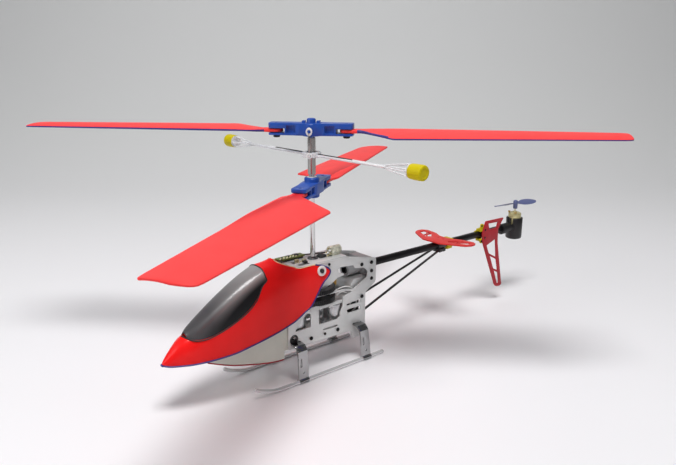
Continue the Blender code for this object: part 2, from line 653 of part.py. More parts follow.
def drawn_in(grid):
    """The grid with the border of its window part moved in to leave a gap all round."""
    first, last = STATIONS.index(SCREEN_FRONT_Y), STATIONS.index(SCREEN_REAR_Y)
    low, high = LOW_ROWS, len(grid[0]) - 1 - LOW_ROWS
    moved = [list(line) for line in grid]
    for r in range(low, high + 1):
        moved[first][r] = grid[first][r].lerp(grid[first + 1][r], 0.45)
        moved[last][r] = grid[last][r].lerp(grid[last - 1][r], 0.06)
    for c in range(first, last + 1):
        moved[c][low] = moved[c][low].lerp(moved[c][low + 1], 0.10)
        moved[c][high] = moved[c][high].lerp(moved[c][high - 1], 0.10)
    return moved


def canopy_and_windscreen():
    """Red body shell with its window opening, and the smoked windscreen that fills it."""
    body = shell("canopy", canopy_grid(0.0), canopy_grid(0.9), lambda c, r: not in_screen(c, r))
    cut(body, cylinder("ear_hole", 3.05, -30.0, 30.0, centre=POST_YZ, plane="yz", sides=20))
    finish(body, "red", 0.0, 0.22, smooth=32.0)
    glass = shell("windscreen", drawn_in(canopy_grid(0.05)), drawn_in(canopy_grid(0.85)), in_screen)
    finish(glass, "smoke", 0.0, 0.05, smooth=50.0)


def surface_x(y, z):
    """Half-width of the canopy at a station and height below the crease."""
    return section_point(y, section_angle(y, z)).x


def canopy_fixing(side, sign):
    """Post on the side plate and the rubber grommet that holds the canopy ear on it."""
    y, z = POST_YZ
    skin = surface_x(y, z) - 0.45
    normal = Vector((1.0, -(surface_x(y + 2.0, z) - surface_x(y - 2.0, z)) / 4.0,
                     -(surface_x(y, z + 2.0) - surface_x(y, z - 2.0)) / 4.0))
    end = skin + 2.6
    span = sorted((sign * (PLATE_OUT + 0.05), sign * end))
    post = cylinder("canopy_post_" + side, 1.2, *span, centre=POST_YZ, plane="yz", sides=20)
    finish(post, "black", 0.0, 0.5)
    profile = [(1.7, -1.7), (3.9, -1.7), (3.9, -1.0), (2.8, -1.0), (2.8, 1.0), (3.9, 1.0), (3.9, 1.7),
               (1.7, 1.7)]
    ring = revolve("canopy_grommet_" + side, profile)
    tilt = Vector((0.0, 0.0, 1.0)).rotation_difference(normal).to_matrix().to_4x4()
    place = Matrix.Translation((skin, y, z)) @ tilt
    if sign < 0:
        place = Matrix.Scale(-1.0, 4, (1.0, 0.0, 0.0)) @ place
    ring.data.transform(place)
    if sign < 0:
        ring.data.flip_normals()
    finish(ring, "white", 0.0, 0.5)


PAN_STATIONS = [  # y, half width, bottom z, top z
    (-106.0, 4.0, 35.4, 38.2), (-96.0, 7.4, 31.6, 39.0), (-80.0, 9.4, 25.6, 40.0), (-62.0, 10.6, 21.0, 41.5),
    (-46.0, 11.1, 17.8, 43.0), (-35.5, 11.2, 16.9, 44.0)]


def pan_loft(name, inset, top_lift, rear_y):
    """Loft of the battery pan section; inset shrinks it for the hollow."""
    points, faces = [], []
    for i, (y, width, low, top) in enumerate(PAN_STATIONS):
        w, z0, z1 = width - inset, low + inset, top + top_lift
        if i == 0:
            y += inset
            z0 = min(z0, top - 0.6)
        if i == len(PAN_STATIONS) - 1:
            y = rear_y
        section = [(w, z1), (w, z0 + 2.2), (0.86 * w, z0 + 0.5), (0.74 * w, z0)]
        points += [(x, y, z) for x, z in section] + [(-x, y, z) for x, z in reversed(section)]
    ring = 8
    for i in range(len(PAN_STATIONS) - 1):
        for k in range(ring):
            m = (k + 1) % ring
            faces.append([i * ring + k, i * ring + m, (i + 1) * ring + m, (i + 1) * ring + k])
    faces.append(list(range(ring)))
    faces.append(list(range((len(PAN_STATIONS) - 1) * ring, len(PAN_STATIONS) * ring)))
    return make(name, points, faces)


def belly_pan():
    """Open-topped pan under the nose with two ears that sit between the side plates."""
    pan = pan_loft("belly_pan", 0.0, 0.0, PAN_STATIONS[-1][0])
    ears = [box("ear", sorted((s * 9.7, s * 11.2)), (-36.5, -30.8), (24.8, 43.6)) for s in (-1, 1)]
    join(pan, *ears)
    hollow = pan_loft("hollow", 1.2, 8.0, PAN_STATIONS[-1][0] - 1.2)
    cut(pan, hollow)
    return finish(pan, "cream", 0.0, 0.4)


def battery():
    """Battery pack lying in the pan."""
    pack = box("battery", (-7.4, 7.4), (-84.0, -38.0), (28.6, 41.0))
    bevel = pack.modifiers.new("bevel", "BEVEL")
    bevel.width = 1.6
    bevel.segments = 3
    return finish(pack, "dark", 0.0, 0.5)


def receiver_board():
    """Circuit board on a pad, with its larger components."""
    board = box("receiver_board", (-10.9, -4.4), (-27.0, -4.0), (87.4, 88.8))
    parts = [box("pad", (-10.4, -5.2), (-21.0, -5.0), (86.02, 87.9)),
             box("chip", (-9.6, -5.6), (-12.0, -7.0), (88.4, 90.0)),
             box("socket", (-10.4, -5.0), (-24.5, -19.0), (88.4, 91.0))]
    join(board, *parts)
    return finish(board, "green", 0.0, 0.45)


def crystal_can():
    """Small metal can lying on the deck behind the mast."""
    outline = [(2.4 + 2.9 * math.cos(a), 89.1 + 2.9 * math.sin(a) + (0.5 if math.sin(a) > 0 else 0.0))
               for a in (math.radians(7.5 + 15 * i) for i in range(24))]
    can = prism("crystal_can", outline, 13.5, 26.5, "xz")
    foot = box("foot", (-0.2, 5.0), (14.5, 23.0), (86.02, 88.0))
    join(can, foot)
    return finish(can, "silver", 0.9, 0.3)


# ---------------------------------------------------------------- boom and tail

def tail_boom():
    """Round tube from the frame to the tail motor."""
    outer = cylinder("tail_boom", BOOM_R, *BOOM_Y, centre=(0.0, BOOM_Z), plane="xz")
    cut(outer, cylinder("bore", BOOM_R - 0.8, BOOM_Y[0] - 1, BOOM_Y[1] + 1, centre=(0.0, BOOM_Z), plane="xz"))
    return finish(outer, "black", 0.0, 0.35)


def strut(name, sign):
    """Thin brace from inside the frame to the clip under the boom."""
    path = [(sign * 10.1, 36.0, 37.0), (sign * 10.1, 44.6, 37.6), (sign * 3.4, 136.6, 66.3)]
    rod = tube_path(name, path, 1.0)
    return finish(rod, "dark", 0.0, 0.4)


def strut_clip():
    """Clip round the boom that takes both braces."""
    band = cylinder("strut_clip", 4.1, 137.0, 146.0, centre=(0.0, BOOM_Z), plane="xz")
    join(band, box("lug", (-4.5, 4.5), (136.9, 145.0), (64.8, 67.6)))
    cut(band, cylinder("hole", BOOM_R + 0.05, 130.0, 150.0, centre=(0.0, BOOM_Z), plane="xz"))
    return finish(band, "dark", 0.0, 0.4)


def stabilizer():
    """Swept tailplane on top of the boom."""
    half = [(0.0, 129.9), (9.5, 129.9), (17.5, 134.2), (29.5, 141.0), (32.4, 146.5), (31.6, 152.6),
            (27.0, 155.3), (14.5, 153.2), (6.5, 148.8), (0.0, 148.2)]
    outline = half + [(-x, y) for x, y in reversed(half) if x > 0]
    plate = prism("stabilizer", outline, 74.75, 75.95, "xy")
    cutters = []
    for s in (-1, 1):
        slot = [(s * 12.6, 143.8), (s * 15.4, 142.6), (s * 27.4, 148.2), (s * 26.6, 150.6)]
        cutters.append(prism("slot", slot, 70.0, 80.0, "xy"))
    cut(plate, *cutters)
    return finish(plate, "coral", 0.0, 0.35)


def boom_saddle(name, y, low, high, half):
    """U-shaped clamp that hangs under the boom and reaches up to a flat face."""
    outline = [(-half, high), (-half, 69.4), (-half + 1.6, low), (half - 1.6, low), (half, 69.4),
               (half, high)]
    saddle = prism(name, outline, y[0], y[1], "xz")
    cut(saddle, cylinder("hole", BOOM_R + 0.05, y[0] - 1, y[1] + 1, centre=(0.0, BOOM_Z), plane="xz"))
    return saddle


FIN_OUTLINE = [(198.9, 83.2), (225.5, 82.7), (218.0, 72.8), (218.4, 59.5), (228.3, 15.4), (226.2, 13.9),
               (220.0, 14.6), (217.4, 17.3), (195.8, 63.6), (195.0, 72.9)]
FIN_WINDOWS = [[(202.8, 80.4), (217.2, 79.8), (215.4, 74.3), (204.9, 74.3)],
               [(203.0, 58.6), (213.9, 62.6), (216.8, 44.9), (206.0, 51.4)],
               [(209.0, 47.2), (217.6, 42.4), (220.2, 31.6), (214.6, 34.2)],
               [(216.4, 30.6), (221.0, 28.4), (223.4, 19.0)]]


def tail_fin():
    """Vertical fin plate with truss openings, beside the boom."""
    plate = prism("tail_fin", FIN_OUTLINE, 4.2, 5.3)
    cut(plate, *[prism("window", w, 0.0, 9.0) for w in FIN_WINDOWS])
    return finish(plate, "fin_red", 0.0, 0.4)


def fin_clamp():
    """Clamp on the boom with a tall flat cheek that carries the fin."""
    cheek = prism("fin_clamp", [(188.6, 78.0), (190.4, 82.2), (194.0, 82.2), (201.5, 76.5), (201.5, 66.0),
                                (193.8, 61.8), (190.0, 62.6), (188.6, 66.0)], 3.3, 4.15)
    ring = cylinder("ring", 4.15, 189.0, 199.0, centre=(0.0, BOOM_Z), plane="xz")
    join(cheek, ring)
    cut(cheek, cylinder("hole", BOOM_R + 0.05, 180.0, 210.0, centre=(0.0, BOOM_Z), plane="xz"))
    return finish(cheek, "yellow", 0.0, 0.45)


def tail_motor_holder():
    """Tapered cup for the tail motor with a socket for the boom."""
    profile = [(0.0, 57.4), (7.0, 57.4), (7.7, 58.6), (7.9, 77.0), (6.15, 77.0), (6.15, 60.0), (0.0, 60.0)]
    cup = revolve("tail_motor_holder", profile, centre=(0.0, TAIL_Y))
    socket = cylinder("socket", 4.9, 228.5, 243.2, centre=(0.0, BOOM_Z - 1.0), plane="xz", sides=20)
    join(cup, socket)
    cut(cup, cylinder("boom_hole", BOOM_R + 0.05, 225.0, BOOM_Y[1] + 0.2, centre=(0.0, BOOM_Z), plane="xz"),
        cylinder("motor_hole", 6.15, 60.0, 80.0, centre=(0.0, TAIL_Y)))
    return finish(cup, "black", 0.0, 0.4)


def tail_motor():
    """Small motor standing in its cup, shaft up."""
    profile = [(0.0, 60.1), (6.1, 60.1), (6.1, 82.2), (5.2, 83.2), (2.0, 83.2), (2.0, 84.4), (0.5, 84.4),
               (0.5, 93.0), (0.0, 93.0)]
    motor = revolve("tail_motor", profile, centre=(0.0, TAIL_Y))
    return finish(motor, "brass", 0.6, 0.35)


def tail_rotor():
    """Two-bladed tail propeller on the motor shaft."""
    hub = revolve("tail_rotor", [(0.0, 87.0), (2.1, 87.0), (2.2, 94.0), (1.6, 95.5), (0.0, 95.5)])
    plan = [(1.2, 1.2, 8.0), (3.5, 1.5, 12.0), (7.0, 2.6, 20.0), (11.0, 3.5, 20.0), (16.0, 3.8, 17.0),
            (21.0, 3.5, 15.0), (24.5, 2.7, 13.0), (PROP_R, 1.0, 12.0)]
    blades = []
    for flip in (0.0, 180.0):
        points, faces = [], []
        for r, half, pitch in plan:
            a = math.radians(pitch)
            for s, t in ((1.0, 0.2), (0.0, 0.55), (-1.0, 0.2), (-1.0, -0.2), (0.0, -0.45), (1.0, -0.2)):
                points.append((r, s * half * math.cos(a) - t * math.sin(a),
                               92.0 + s * half * math.sin(a) + t * math.cos(a)))
        for i in range(len(plan) - 1):
            for k in range(6):
                m = (k + 1) % 6
                faces.append([i * 6 + k, i * 6 + m, (i + 1) * 6 + m, (i + 1) * 6 + k])
        faces.append(list(range(6)))
        faces.append(list(range((len(plan) - 1) * 6, len(plan) * 6)))
        one = make("prop_blade", points, faces)
        blades.append(turn(one, flip + PROP_ANGLE))
    join(hub, *blades)
    bore = cylinder("bore", 0.56, 85.0, 93.4, sides=20)
    cut(hub, bore)
    hub.data.transform(Matrix.Translation((0.0, TAIL_Y, 0.0)))
    return finish(hub, "propeller", 0.0, 0.3, origin=(0.0, TAIL_Y, 92.0), smooth=40.0)


# ---------------------------------------------------------------- landing gear

SKID_SIDES = 16
SKID_Z = SKID_R * math.cos(math.pi / SKID_SIDES)


def skid(name, sign):
    """Landing skid tube with an upturned front, a facet of the tube on the ground."""
    profile = [(55.1, 0.0), (-44.0, 0.0), (-48.5, 0.2), (-53.0, 0.9), (-58.0, 2.4), (-63.0, 4.2),
               (-68.6, 6.9)]
    path = [(sign * SKID_X, y, SKID_Z + lift) for y, lift in profile]
    points, faces = [], []
    for x, y, z in path:
        for k in range(SKID_SIDES):
            a = 2 * math.pi * (k + 0.5) / SKID_SIDES
            points.append((x + SKID_R * math.cos(a), y, z + SKID_R * math.sin(a)))
    for i in range(len(path) - 1):
        for k in range(SKID_SIDES):
            a, b = i * SKID_SIDES + k, i * SKID_SIDES + (k + 1) % SKID_SIDES
            faces.append([a, b, b + SKID_SIDES, a + SKID_SIDES])
    faces.append(list(range(SKID_SIDES)))
    faces.append(list(range((len(path) - 1) * SKID_SIDES, len(path) * SKID_SIDES)))
    return finish(make(name, points, faces), "silver", 1.0, 0.12)


def leg(name, y, lean):
    """Bent strap through both side plates, with a saddle on each skid."""
    half = [(0.0, 28.8), (15.5, 28.8), (18.6, 27.8), (20.4, 25.6), (21.3, 22.5), (21.9, 3.2), (21.9, 2.0),
            (20.6, 2.0), (20.6, 3.2), (20.0, 22.2), (19.2, 24.8), (17.8, 26.6), (15.3, 27.5), (0.0, 27.5)]
    mirrored = [(-x, z) for x, z in reversed(half) if x > 0]
    outline = half + mirrored
    strap = prism(name, outline, y - LEG_WIDTH / 2, y + LEG_WIDTH / 2, "xz")
    saddles, holes = [], []
    for s in (-1, 1):
        shape = [(s * SKID_X + 2.4 * math.cos(a), SKID_Z + 2.4 * math.sin(a))
                 for a in (math.radians(15 * i) for i in range(13))]
        saddles.append(prism("saddle", shape, y - LEG_WIDTH / 2, y + LEG_WIDTH / 2, "xz"))
        centre = (s * SKID_X, SKID_Z)
        holes.append(cylinder("skid_hole", SKID_R + 0.06, y - 9.0, y + 9.0, centre=centre, plane="xz"))
    join(strap, *saddles)
    cut(strap, *holes)
    for vertex in strap.data.vertices:
        drop = max(0.0, 26.0 - vertex.co.z)
        vertex.co.y += lean * drop / 24.0
    return finish(strap, "silver", 1.0, 0.2)


def power_switch():
    """Slide switch on the side of the pan, its knob in a slot."""
    body = box("power_switch", (-14.2, -11.3), (-52.0, -42.0), (28.0, 34.4))
    cut(body, box("slot", (-15.0, -12.5), (-50.6, -43.4), (29.9, 32.5)))
    finish(body, "black", 0.0, 0.5)
    knob = box("switch_knob", (-15.4, -12.6), (-50.4, -47.6), (30.0, 32.4))
    finish(knob, "dark", 0.0, 0.5, origin=(-14.0, -49.0, 31.2))


def build():
    """All nodes."""
    clear_scene()
    side_plate("frame_side_left", 1)
    side_plate("frame_side_right", -1)
    top_deck()
    mid_deck()
    bottom_plate()
    boom_mount()
    rear_spacer()
    bearing("top_bearing", 4.0, OUTER_SHAFT_R + 0.05, 84.0, 87.0)
    bearing("lower_bearing", 3.0, INNER_SHAFT_R + 0.05, 48.8, 51.4)
    main_motor("main_motor_front", -MOTOR_Y, 58.4)
    main_motor("main_motor_rear", MOTOR_Y, 65.8)
    main_gear("inner_gear", INNER_GEAR_Z, INNER_SHAFT_R + 0.03, (51.9, 58.8), 3.6)
    main_gear("outer_gear", OUTER_GEAR_Z, OUTER_SHAFT_R + 0.03, (59.6, 66.0), 4.2)
    pinion("pinion_front", -MOTOR_Y, (INNER_GEAR_Z[0] - 0.5, INNER_GEAR_Z[1] + 0.5))
    pinion("pinion_rear", MOTOR_Y, (OUTER_GEAR_Z[0] - 0.5, OUTER_GEAR_Z[1] + 0.5))
    shafts()
    lower_hub()
    upper_head()
    for suffix, flip in (("a", 0.0), ("b", 180.0)):
        blade("lower_blade_" + suffix, -1, LOWER_ANGLE + flip, LOWER_Z, 1.0)
        blade("upper_blade_" + suffix, 1, UPPER_ANGLE + flip, UPPER_Z, 0.4)
    head_pin = cross_pin("head_pin", UPPER_Z, UPPER_ANGLE, 0.8, 7.4)
    finish(head_pin, "steel", 1.0, 0.25)
    flybar_pin = cross_pin("flybar_pin", FLYBAR_Z, FLYBAR_ANGLE + 90.0, 0.7, 6.7)
    finish(flybar_pin, "steel", 1.0, 0.25)
    flybar()
    flybar_weight("flybar_weight_a", 1)
    flybar_weight("flybar_weight_b", -1)
    link("link_a", LINK_ANGLE)
    link("link_b", LINK_ANGLE + 180.0)
    canopy_and_windscreen()
    for side, sign in (("left", 1), ("right", -1)):
        canopy_fixing(side, sign)
        strut("strut_" + side, sign)
        skid("skid_" + side, sign)
    belly_pan()
    power_switch()
    battery()
    receiver_board()
    crystal_can()
    tail_boom()
    strut_clip()
    stabilizer()
    finish(boom_saddle("stabilizer_clamp", (148.5, 155.0), 65.2, 74.7, 4.5), "yellow", 0.0, 0.45)
    tail_fin()
    fin_clamp()
    tail_motor_holder()
    tail_motor()
    tail_rotor()
    leg("leg_front", LEG_Y["leg_front"], 0.0)
    leg("leg_rear", LEG_Y["leg_rear"], 2.2)


build()
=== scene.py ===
import math

import bmesh
import bpy
from mathutils import Matrix, Vector


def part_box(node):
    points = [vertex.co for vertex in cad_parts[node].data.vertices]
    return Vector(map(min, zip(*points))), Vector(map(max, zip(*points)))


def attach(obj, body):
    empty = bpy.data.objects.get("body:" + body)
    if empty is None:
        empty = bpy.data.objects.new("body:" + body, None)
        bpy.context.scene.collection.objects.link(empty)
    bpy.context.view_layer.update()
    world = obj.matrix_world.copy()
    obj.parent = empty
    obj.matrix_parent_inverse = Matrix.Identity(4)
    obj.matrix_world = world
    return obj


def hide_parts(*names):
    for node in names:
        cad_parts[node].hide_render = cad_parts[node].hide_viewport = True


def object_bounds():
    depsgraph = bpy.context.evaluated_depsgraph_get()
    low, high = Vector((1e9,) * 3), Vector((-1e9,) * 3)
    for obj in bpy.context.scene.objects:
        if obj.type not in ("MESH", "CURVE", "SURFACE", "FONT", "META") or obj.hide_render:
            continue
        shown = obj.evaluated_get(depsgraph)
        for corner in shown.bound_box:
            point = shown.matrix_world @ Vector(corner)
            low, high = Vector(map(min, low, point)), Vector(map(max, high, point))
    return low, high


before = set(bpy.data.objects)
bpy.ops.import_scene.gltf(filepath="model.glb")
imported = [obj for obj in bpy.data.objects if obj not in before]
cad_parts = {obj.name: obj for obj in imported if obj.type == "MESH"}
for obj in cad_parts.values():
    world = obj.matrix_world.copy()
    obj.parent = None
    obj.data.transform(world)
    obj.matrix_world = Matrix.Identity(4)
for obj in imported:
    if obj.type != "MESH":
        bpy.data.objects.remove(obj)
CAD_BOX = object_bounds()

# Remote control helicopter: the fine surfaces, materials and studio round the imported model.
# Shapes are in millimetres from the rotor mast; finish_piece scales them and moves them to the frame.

MM = 0.001
SHAFT_LOW, SHAFT_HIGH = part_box("inner_shaft")
MAST_Y = (SHAFT_LOW[1] + SHAFT_HIGH[1]) / 2

UPPER_Z, LOWER_Z, FLYBAR_Z = 181.8, 140.2, 164.6
UPPER_ANGLE, LOWER_ANGLE, FLYBAR_ANGLE = 41.6, -56.3, 3.3
LINK_ANGLE = UPPER_ANGLE - 90.0
LINK_R = 8.9
PIN_R, PIN_HOLE_R = 25.5, 1.15
GRIP_END_R = 30.5
LOWER_GRIP, UPPER_GRIP = (136.3, 144.6), (178.6, 187.2)
PLATE_IN, PLATE_OUT = 11.3, 12.3
DECK_HALF = 11.2
MOTOR_Y = 19.25
BOOM_R, BOOM_Z = 3.1, 70.4
TAIL_Y = 250.0
SKID_X, SKID_R = 21.1, 1.5
POST_YZ = (-4.7, 81.2)
FRAME_SCREWS = [(48.5, 76.1), (38.4, 76.2), (48.7, 69.1), (48.8, 62.8), (38.8, 50.0), (39.4, 19.2),
                (14.2, 28.4), (-11.7, 28.4)]
SMALL_SCREWS = [(1.5, 28.4), (6.0, 83.0)]
SIDES = (("left", 1), ("right", -1))


# ---------------------------------------------------------------- materials

def feed(node, inputs):
    """Link the sockets and set the numbers given for a node's inputs."""
    for key, value in inputs.items():
        if isinstance(value, bpy.types.NodeSocket):
            node.id_data.links.new(value, node.inputs[key])
        else:
            node.inputs[key].default_value = value


def shader(mat, kind, inputs):
    """New shader node with its inputs fed."""
    node = mat.node_tree.nodes.new("ShaderNode" + kind)
    feed(node, inputs)
    return node


def blend_colour(mat, factor, base, colour):
    """Mix a colour over a base colour socket; gives the result socket."""
    node = mat.node_tree.nodes.new("ShaderNodeMix")
    node.data_type = "RGBA"
    feed(node, {"Factor": factor, "A": base, "B": colour})
    return node.outputs["Result"]


def share_between(mat, value, start, end):
    """Socket that runs from 0 to 1 while the value runs from start to end."""
    return shader(mat, "MapRange", {"Value": value, "From Min": start, "From Max": end}).outputs["Result"]


def surface(name, colour, metallic=0.0, rough=0.4, mottle=0.05, rough_var=0.08, bump=0.03, grain=1400.0,
            stretch=(1.0, 1.0, 1.0), coat=0.0, transmission=0.0, ior=1.5, spec=0.5, blotch=60.0):
    """Procedural material: mottled colour, uneven gloss and a fine bump in object space."""
    mat = bpy.data.materials.new(name)
    mat.use_nodes = True
    where = shader(mat, "TexCoord", {}).outputs["Object"]
    patches = shader(mat, "TexNoise", {"Vector": where, "Scale": blotch, "Detail": 4.0})
    tone = shader(mat, "ValToRGB", {"Fac": patches.outputs["Fac"]})
    dark, light = tone.color_ramp.elements
    dark.position, light.position = 0.3, 0.7
    dark.color = [c * (1.0 - mottle) for c in colour] + [1.0]
    light.color = [min(1.0, c * (1.0 + mottle) + 0.004) for c in colour] + [1.0]
    stretched = shader(mat, "Mapping", {"Vector": where, "Scale": stretch}).outputs["Vector"]
    fine = shader(mat, "TexNoise", {"Vector": stretched, "Scale": grain, "Detail": 3.0}).outputs["Fac"]
    gloss = shader(mat, "MapRange", {"Value": fine, "To Min": max(0.02, rough - rough_var / 2),
                                     "To Max": min(1.0, rough + rough_var / 2)})
    dents = shader(mat, "Bump", {"Height": fine, "Strength": bump, "Distance": 0.0004})
    feed(mat.node_tree.nodes["Principled BSDF"], {
        "Base Color": tone.outputs["Color"], "Metallic": metallic, "Roughness": gloss.outputs["Result"],
        "IOR": ior, "Normal": dents.outputs["Normal"], "Specular IOR Level": spec, "Coat Weight": coat,
        "Coat Roughness": 0.06, "Transmission Weight": transmission})
    return mat


BRUSHED = (1.0, 1.0, 0.04)  # noise drawn out along a shaft
ALONG_BOOM = (1.0, 0.05, 1.0)
BLADE_RED = ((0.93, 0.050, 0.050), dict(rough=0.5, mottle=0.04, bump=0.015, spec=0.2))
FINISHES = {  # colour, settings
    "canopy_red": ((0.88, 0.008, 0.008), dict(rough=0.36, mottle=0.04, bump=0.01, coat=0.12, spec=0.16)),
    "screen_smoke": ((0.062, 0.060, 0.064), dict(rough=0.34, rough_var=0.06, bump=0.004, coat=0.3)),
    "blade_coral": BLADE_RED,
    # Cream of the painted highlight line along the canopy's rear edge.
    "edge_highlight_cream": ((0.80, 0.62, 0.36), dict(rough=0.45)),
    "edge_navy": ((0.035, 0.030, 0.20), dict(rough=0.35)),
    "hub_blue": ((0.012, 0.068, 0.36), dict(rough=0.36, mottle=0.08, bump=0.02, spec=0.4)),
    "frame_silver": ((0.68, 0.69, 0.68), dict(metallic=0.3, rough=0.42, mottle=0.05, bump=0.05,
                                              grain=2400.0)),
    "mount_grey": ((0.34, 0.34, 0.345), dict(metallic=0.2, rough=0.5, bump=0.06)),
    "baffle_green": ((0.24, 0.27, 0.23), dict(metallic=0.2, rough=0.45)),
    "bearing_steel": ((0.12, 0.12, 0.125), dict(metallic=0.8, rough=0.32)),
    "motor_steel": ((0.55, 0.55, 0.56), dict(metallic=0.9, rough=0.28, stretch=BRUSHED, bump=0.06)),
    "gear_black": ((0.010, 0.010, 0.011), dict(rough=0.38)),
    "pinion_brass": ((0.70, 0.48, 0.18), dict(metallic=1.0, rough=0.28)),
    "can_pale": ((0.58, 0.58, 0.46), dict(metallic=0.3, rough=0.35, mottle=0.4, blotch=420.0)),
    "shaft_steel": ((0.42, 0.40, 0.385), dict(metallic=1.0, rough=0.24, stretch=BRUSHED, bump=0.08)),
    "mast_steel": ((0.66, 0.65, 0.65), dict(metallic=1.0, rough=0.18, stretch=BRUSHED, bump=0.04)),
    # One chrome in two brightnesses: the skids' pale base is a painted bright reflection, the straps' dark
    # base a painted reflection of the shaded floor.
    "chrome_bright": ((0.86, 0.86, 0.87), dict(metallic=0.5, rough=0.18, bump=0.02, mottle=0.03)),
    "chrome_strap_painted_dark": ((0.40, 0.40, 0.405), dict(metallic=1.0, rough=0.16, mottle=0.10)),
    "boom_black": ((0.005, 0.004, 0.005), dict(rough=0.34, bump=0.04, stretch=ALONG_BOOM, spec=0.25)),
    "strut_dark": ((0.035, 0.033, 0.036), dict(rough=0.4)),
    "fin_red": ((0.46, 0.010, 0.022), dict(rough=0.4, spec=0.3)),
    "plate_coral": ((0.66, 0.035, 0.032), dict(rough=0.45, spec=0.2)),
    "trim_yellow": ((0.56, 0.46, 0.001), dict(rough=0.45, mottle=0.06, spec=0.15)),
    "holder_black": ((0.010, 0.008, 0.009), dict(rough=0.42, bump=0.06)),
    "tail_motor_cream": ((0.62, 0.55, 0.28), dict(metallic=0.5, rough=0.35)),
    "propeller_blue": ((0.10, 0.12, 0.26), dict(rough=0.32)),
    "flybar_clear": ((0.92, 0.93, 0.94), dict(rough=0.08, rough_var=0.02, bump=0.0, mottle=0.01,
                                              transmission=0.35, ior=1.46)),
    "link_white": ((0.80, 0.80, 0.79), dict(rough=0.35)),
    "grommet_white": ((0.78, 0.72, 0.70), dict(rough=0.5)),
    "pan_cream": ((0.74, 0.75, 0.66), dict(rough=0.38, mottle=0.04)),
    "battery_wrap": ((0.03, 0.03, 0.035), dict(rough=0.45)),
    "board_green": ((0.13, 0.17, 0.03), dict(rough=0.45, mottle=0.3, blotch=400.0)),
    "screw_black": ((0.015, 0.015, 0.016), dict(metallic=0.6, rough=0.35)),
    "solder": ((0.62, 0.58, 0.36), dict(metallic=1.0, rough=0.3)),
    "chip_black": ((0.02, 0.02, 0.02), dict(rough=0.5)),
    "wire_white": ((0.82, 0.82, 0.80), dict(rough=0.45)),
}
MATERIALS = {name: surface(name, colour, **settings) for name, (colour, settings) in FINISHES.items()}


def paint_screen_light(mat):
    """Paint light on the windscreen: a pale painted reflection toward its rear top edge and painted shade,
    nearly black, toward its left side.
    """
    nodes = mat.node_tree.nodes
    split = shader(mat, "SeparateXYZ", {"Vector": nodes["Texture Coordinate"].outputs["Object"]})
    painted_light_tint = nodes["Color Ramp"].outputs["Color"]
    # Pale painted reflection by Y toward the rear top, near-black painted shade by X toward the side.
    for axis, start, end, colour in (("Y", MAST_Y - 0.092, MAST_Y - 0.048, (0.30, 0.295, 0.29, 1.0)),
                                     ("X", 0.0095, 0.0125, (0.003, 0.003, 0.004, 1.0))):
        painted_light_tint = blend_colour(mat, share_between(mat, split.outputs[axis], start, end), painted_light_tint, colour)
    feed(nodes["Principled BSDF"], {"Base Color": painted_light_tint})


paint_screen_light(MATERIALS["screen_smoke"])


# ---------------------------------------------------------------- mesh tools

def new_mesh(name, points, faces):
    """Mesh object from points in millimetres."""
    mesh = bpy.data.meshes.new(name)
    mesh.from_pydata([Vector(p) for p in points], [], faces)
    bm = bmesh.new()
    bm.from_mesh(mesh)
    bmesh.ops.remove_doubles(bm, verts=bm.verts, dist=1e-4)
    bmesh.ops.dissolve_degenerate(bm, edges=bm.edges, dist=1e-4)
    bmesh.ops.recalc_face_normals(bm, faces=bm.faces)
    bm.to_mesh(mesh)
    bm.free()
    obj = bpy.data.objects.new(name, mesh)
    bpy.context.scene.collection.objects.link(obj)
    return obj


def rings(name, sections):
    """Closed skin over a list of equal-length point rings."""
    n = len(sections[0])
    points = [p for section in sections for p in section]
    faces = []
    for i in range(len(sections) - 1):
        for k in range(n):
            m = (k + 1) % n
            faces.append([i * n + k, i * n + m, (i + 1) * n + m, (i + 1) * n + k])
    faces.append(list(range(n)))
    faces.append(list(range((len(sections) - 1) * n, len(sections) * n)))
    return new_mesh(name, points, faces)


def prism(name, outline, lo, hi, plane="yz"):
    """Extrude a 2-D outline: plane yz along X, xz along Y, xy along Z."""
    place = {
        "yz": lambda a, b, h: (h, a, b),
        "xz": lambda a, b, h: (a, h, b),
        "xy": lambda a, b, h: (a, b, h),
    }[plane]
    return rings(name, [[place(a, b, lo) for a, b in outline], [place(a, b, hi) for a, b in outline]])


def box(name, x, y, z):
    """Box from three (low, high) pairs."""
    return prism(name, [(x[0], y[0]), (x[1], y[0]), (x[1], y[1]), (x[0], y[1])], z[0], z[1], "xy")


def circle(radius, centre=(0.0, 0.0), sides=48):
    """Points of a circle."""
    return [(centre[0] + radius * math.cos(2 * math.pi * i / sides),
             centre[1] + radius * math.sin(2 * math.pi * i / sides)) for i in range(sides)]


def cylinder(name, radius, lo, hi, centre=(0.0, 0.0), plane="xy", sides=48):
    """Cylinder along the axis normal to the plane."""
    return prism(name, circle(radius, centre, sides), lo, hi, plane)


def round_boom(name, radius, lo, hi, sides=56):
    """Cylinder on the boom's axis."""
    return cylinder(name, radius, lo, hi, (0.0, BOOM_Z), "xz", sides)


def cross_rod(name, radius, lo, hi, centre, sides=48):
    """Cylinder along X at a (y, z) centre."""
    return cylinder(name, radius, lo, hi, centre, "yz", sides)


def revolve(name, profile, centre=(0.0, 0.0), sides=64):
    """Turn a closed (radius, z) profile about a vertical axis."""
    points, faces = [], []
    n = len(profile)
    for i in range(sides):
        a = 2 * math.pi * i / sides
        points += [(centre[0] + r * math.cos(a), centre[1] + r * math.sin(a), z) for r, z in profile]
    for i in range(sides):
        j = (i + 1) % sides
        for k in range(n):
            m = (k + 1) % n
            if profile[k][0] > 0.0 or profile[m][0] > 0.0:
                faces.append([i * n + k, j * n + k, j * n + m, i * n + m])
    return new_mesh(name, points, faces)


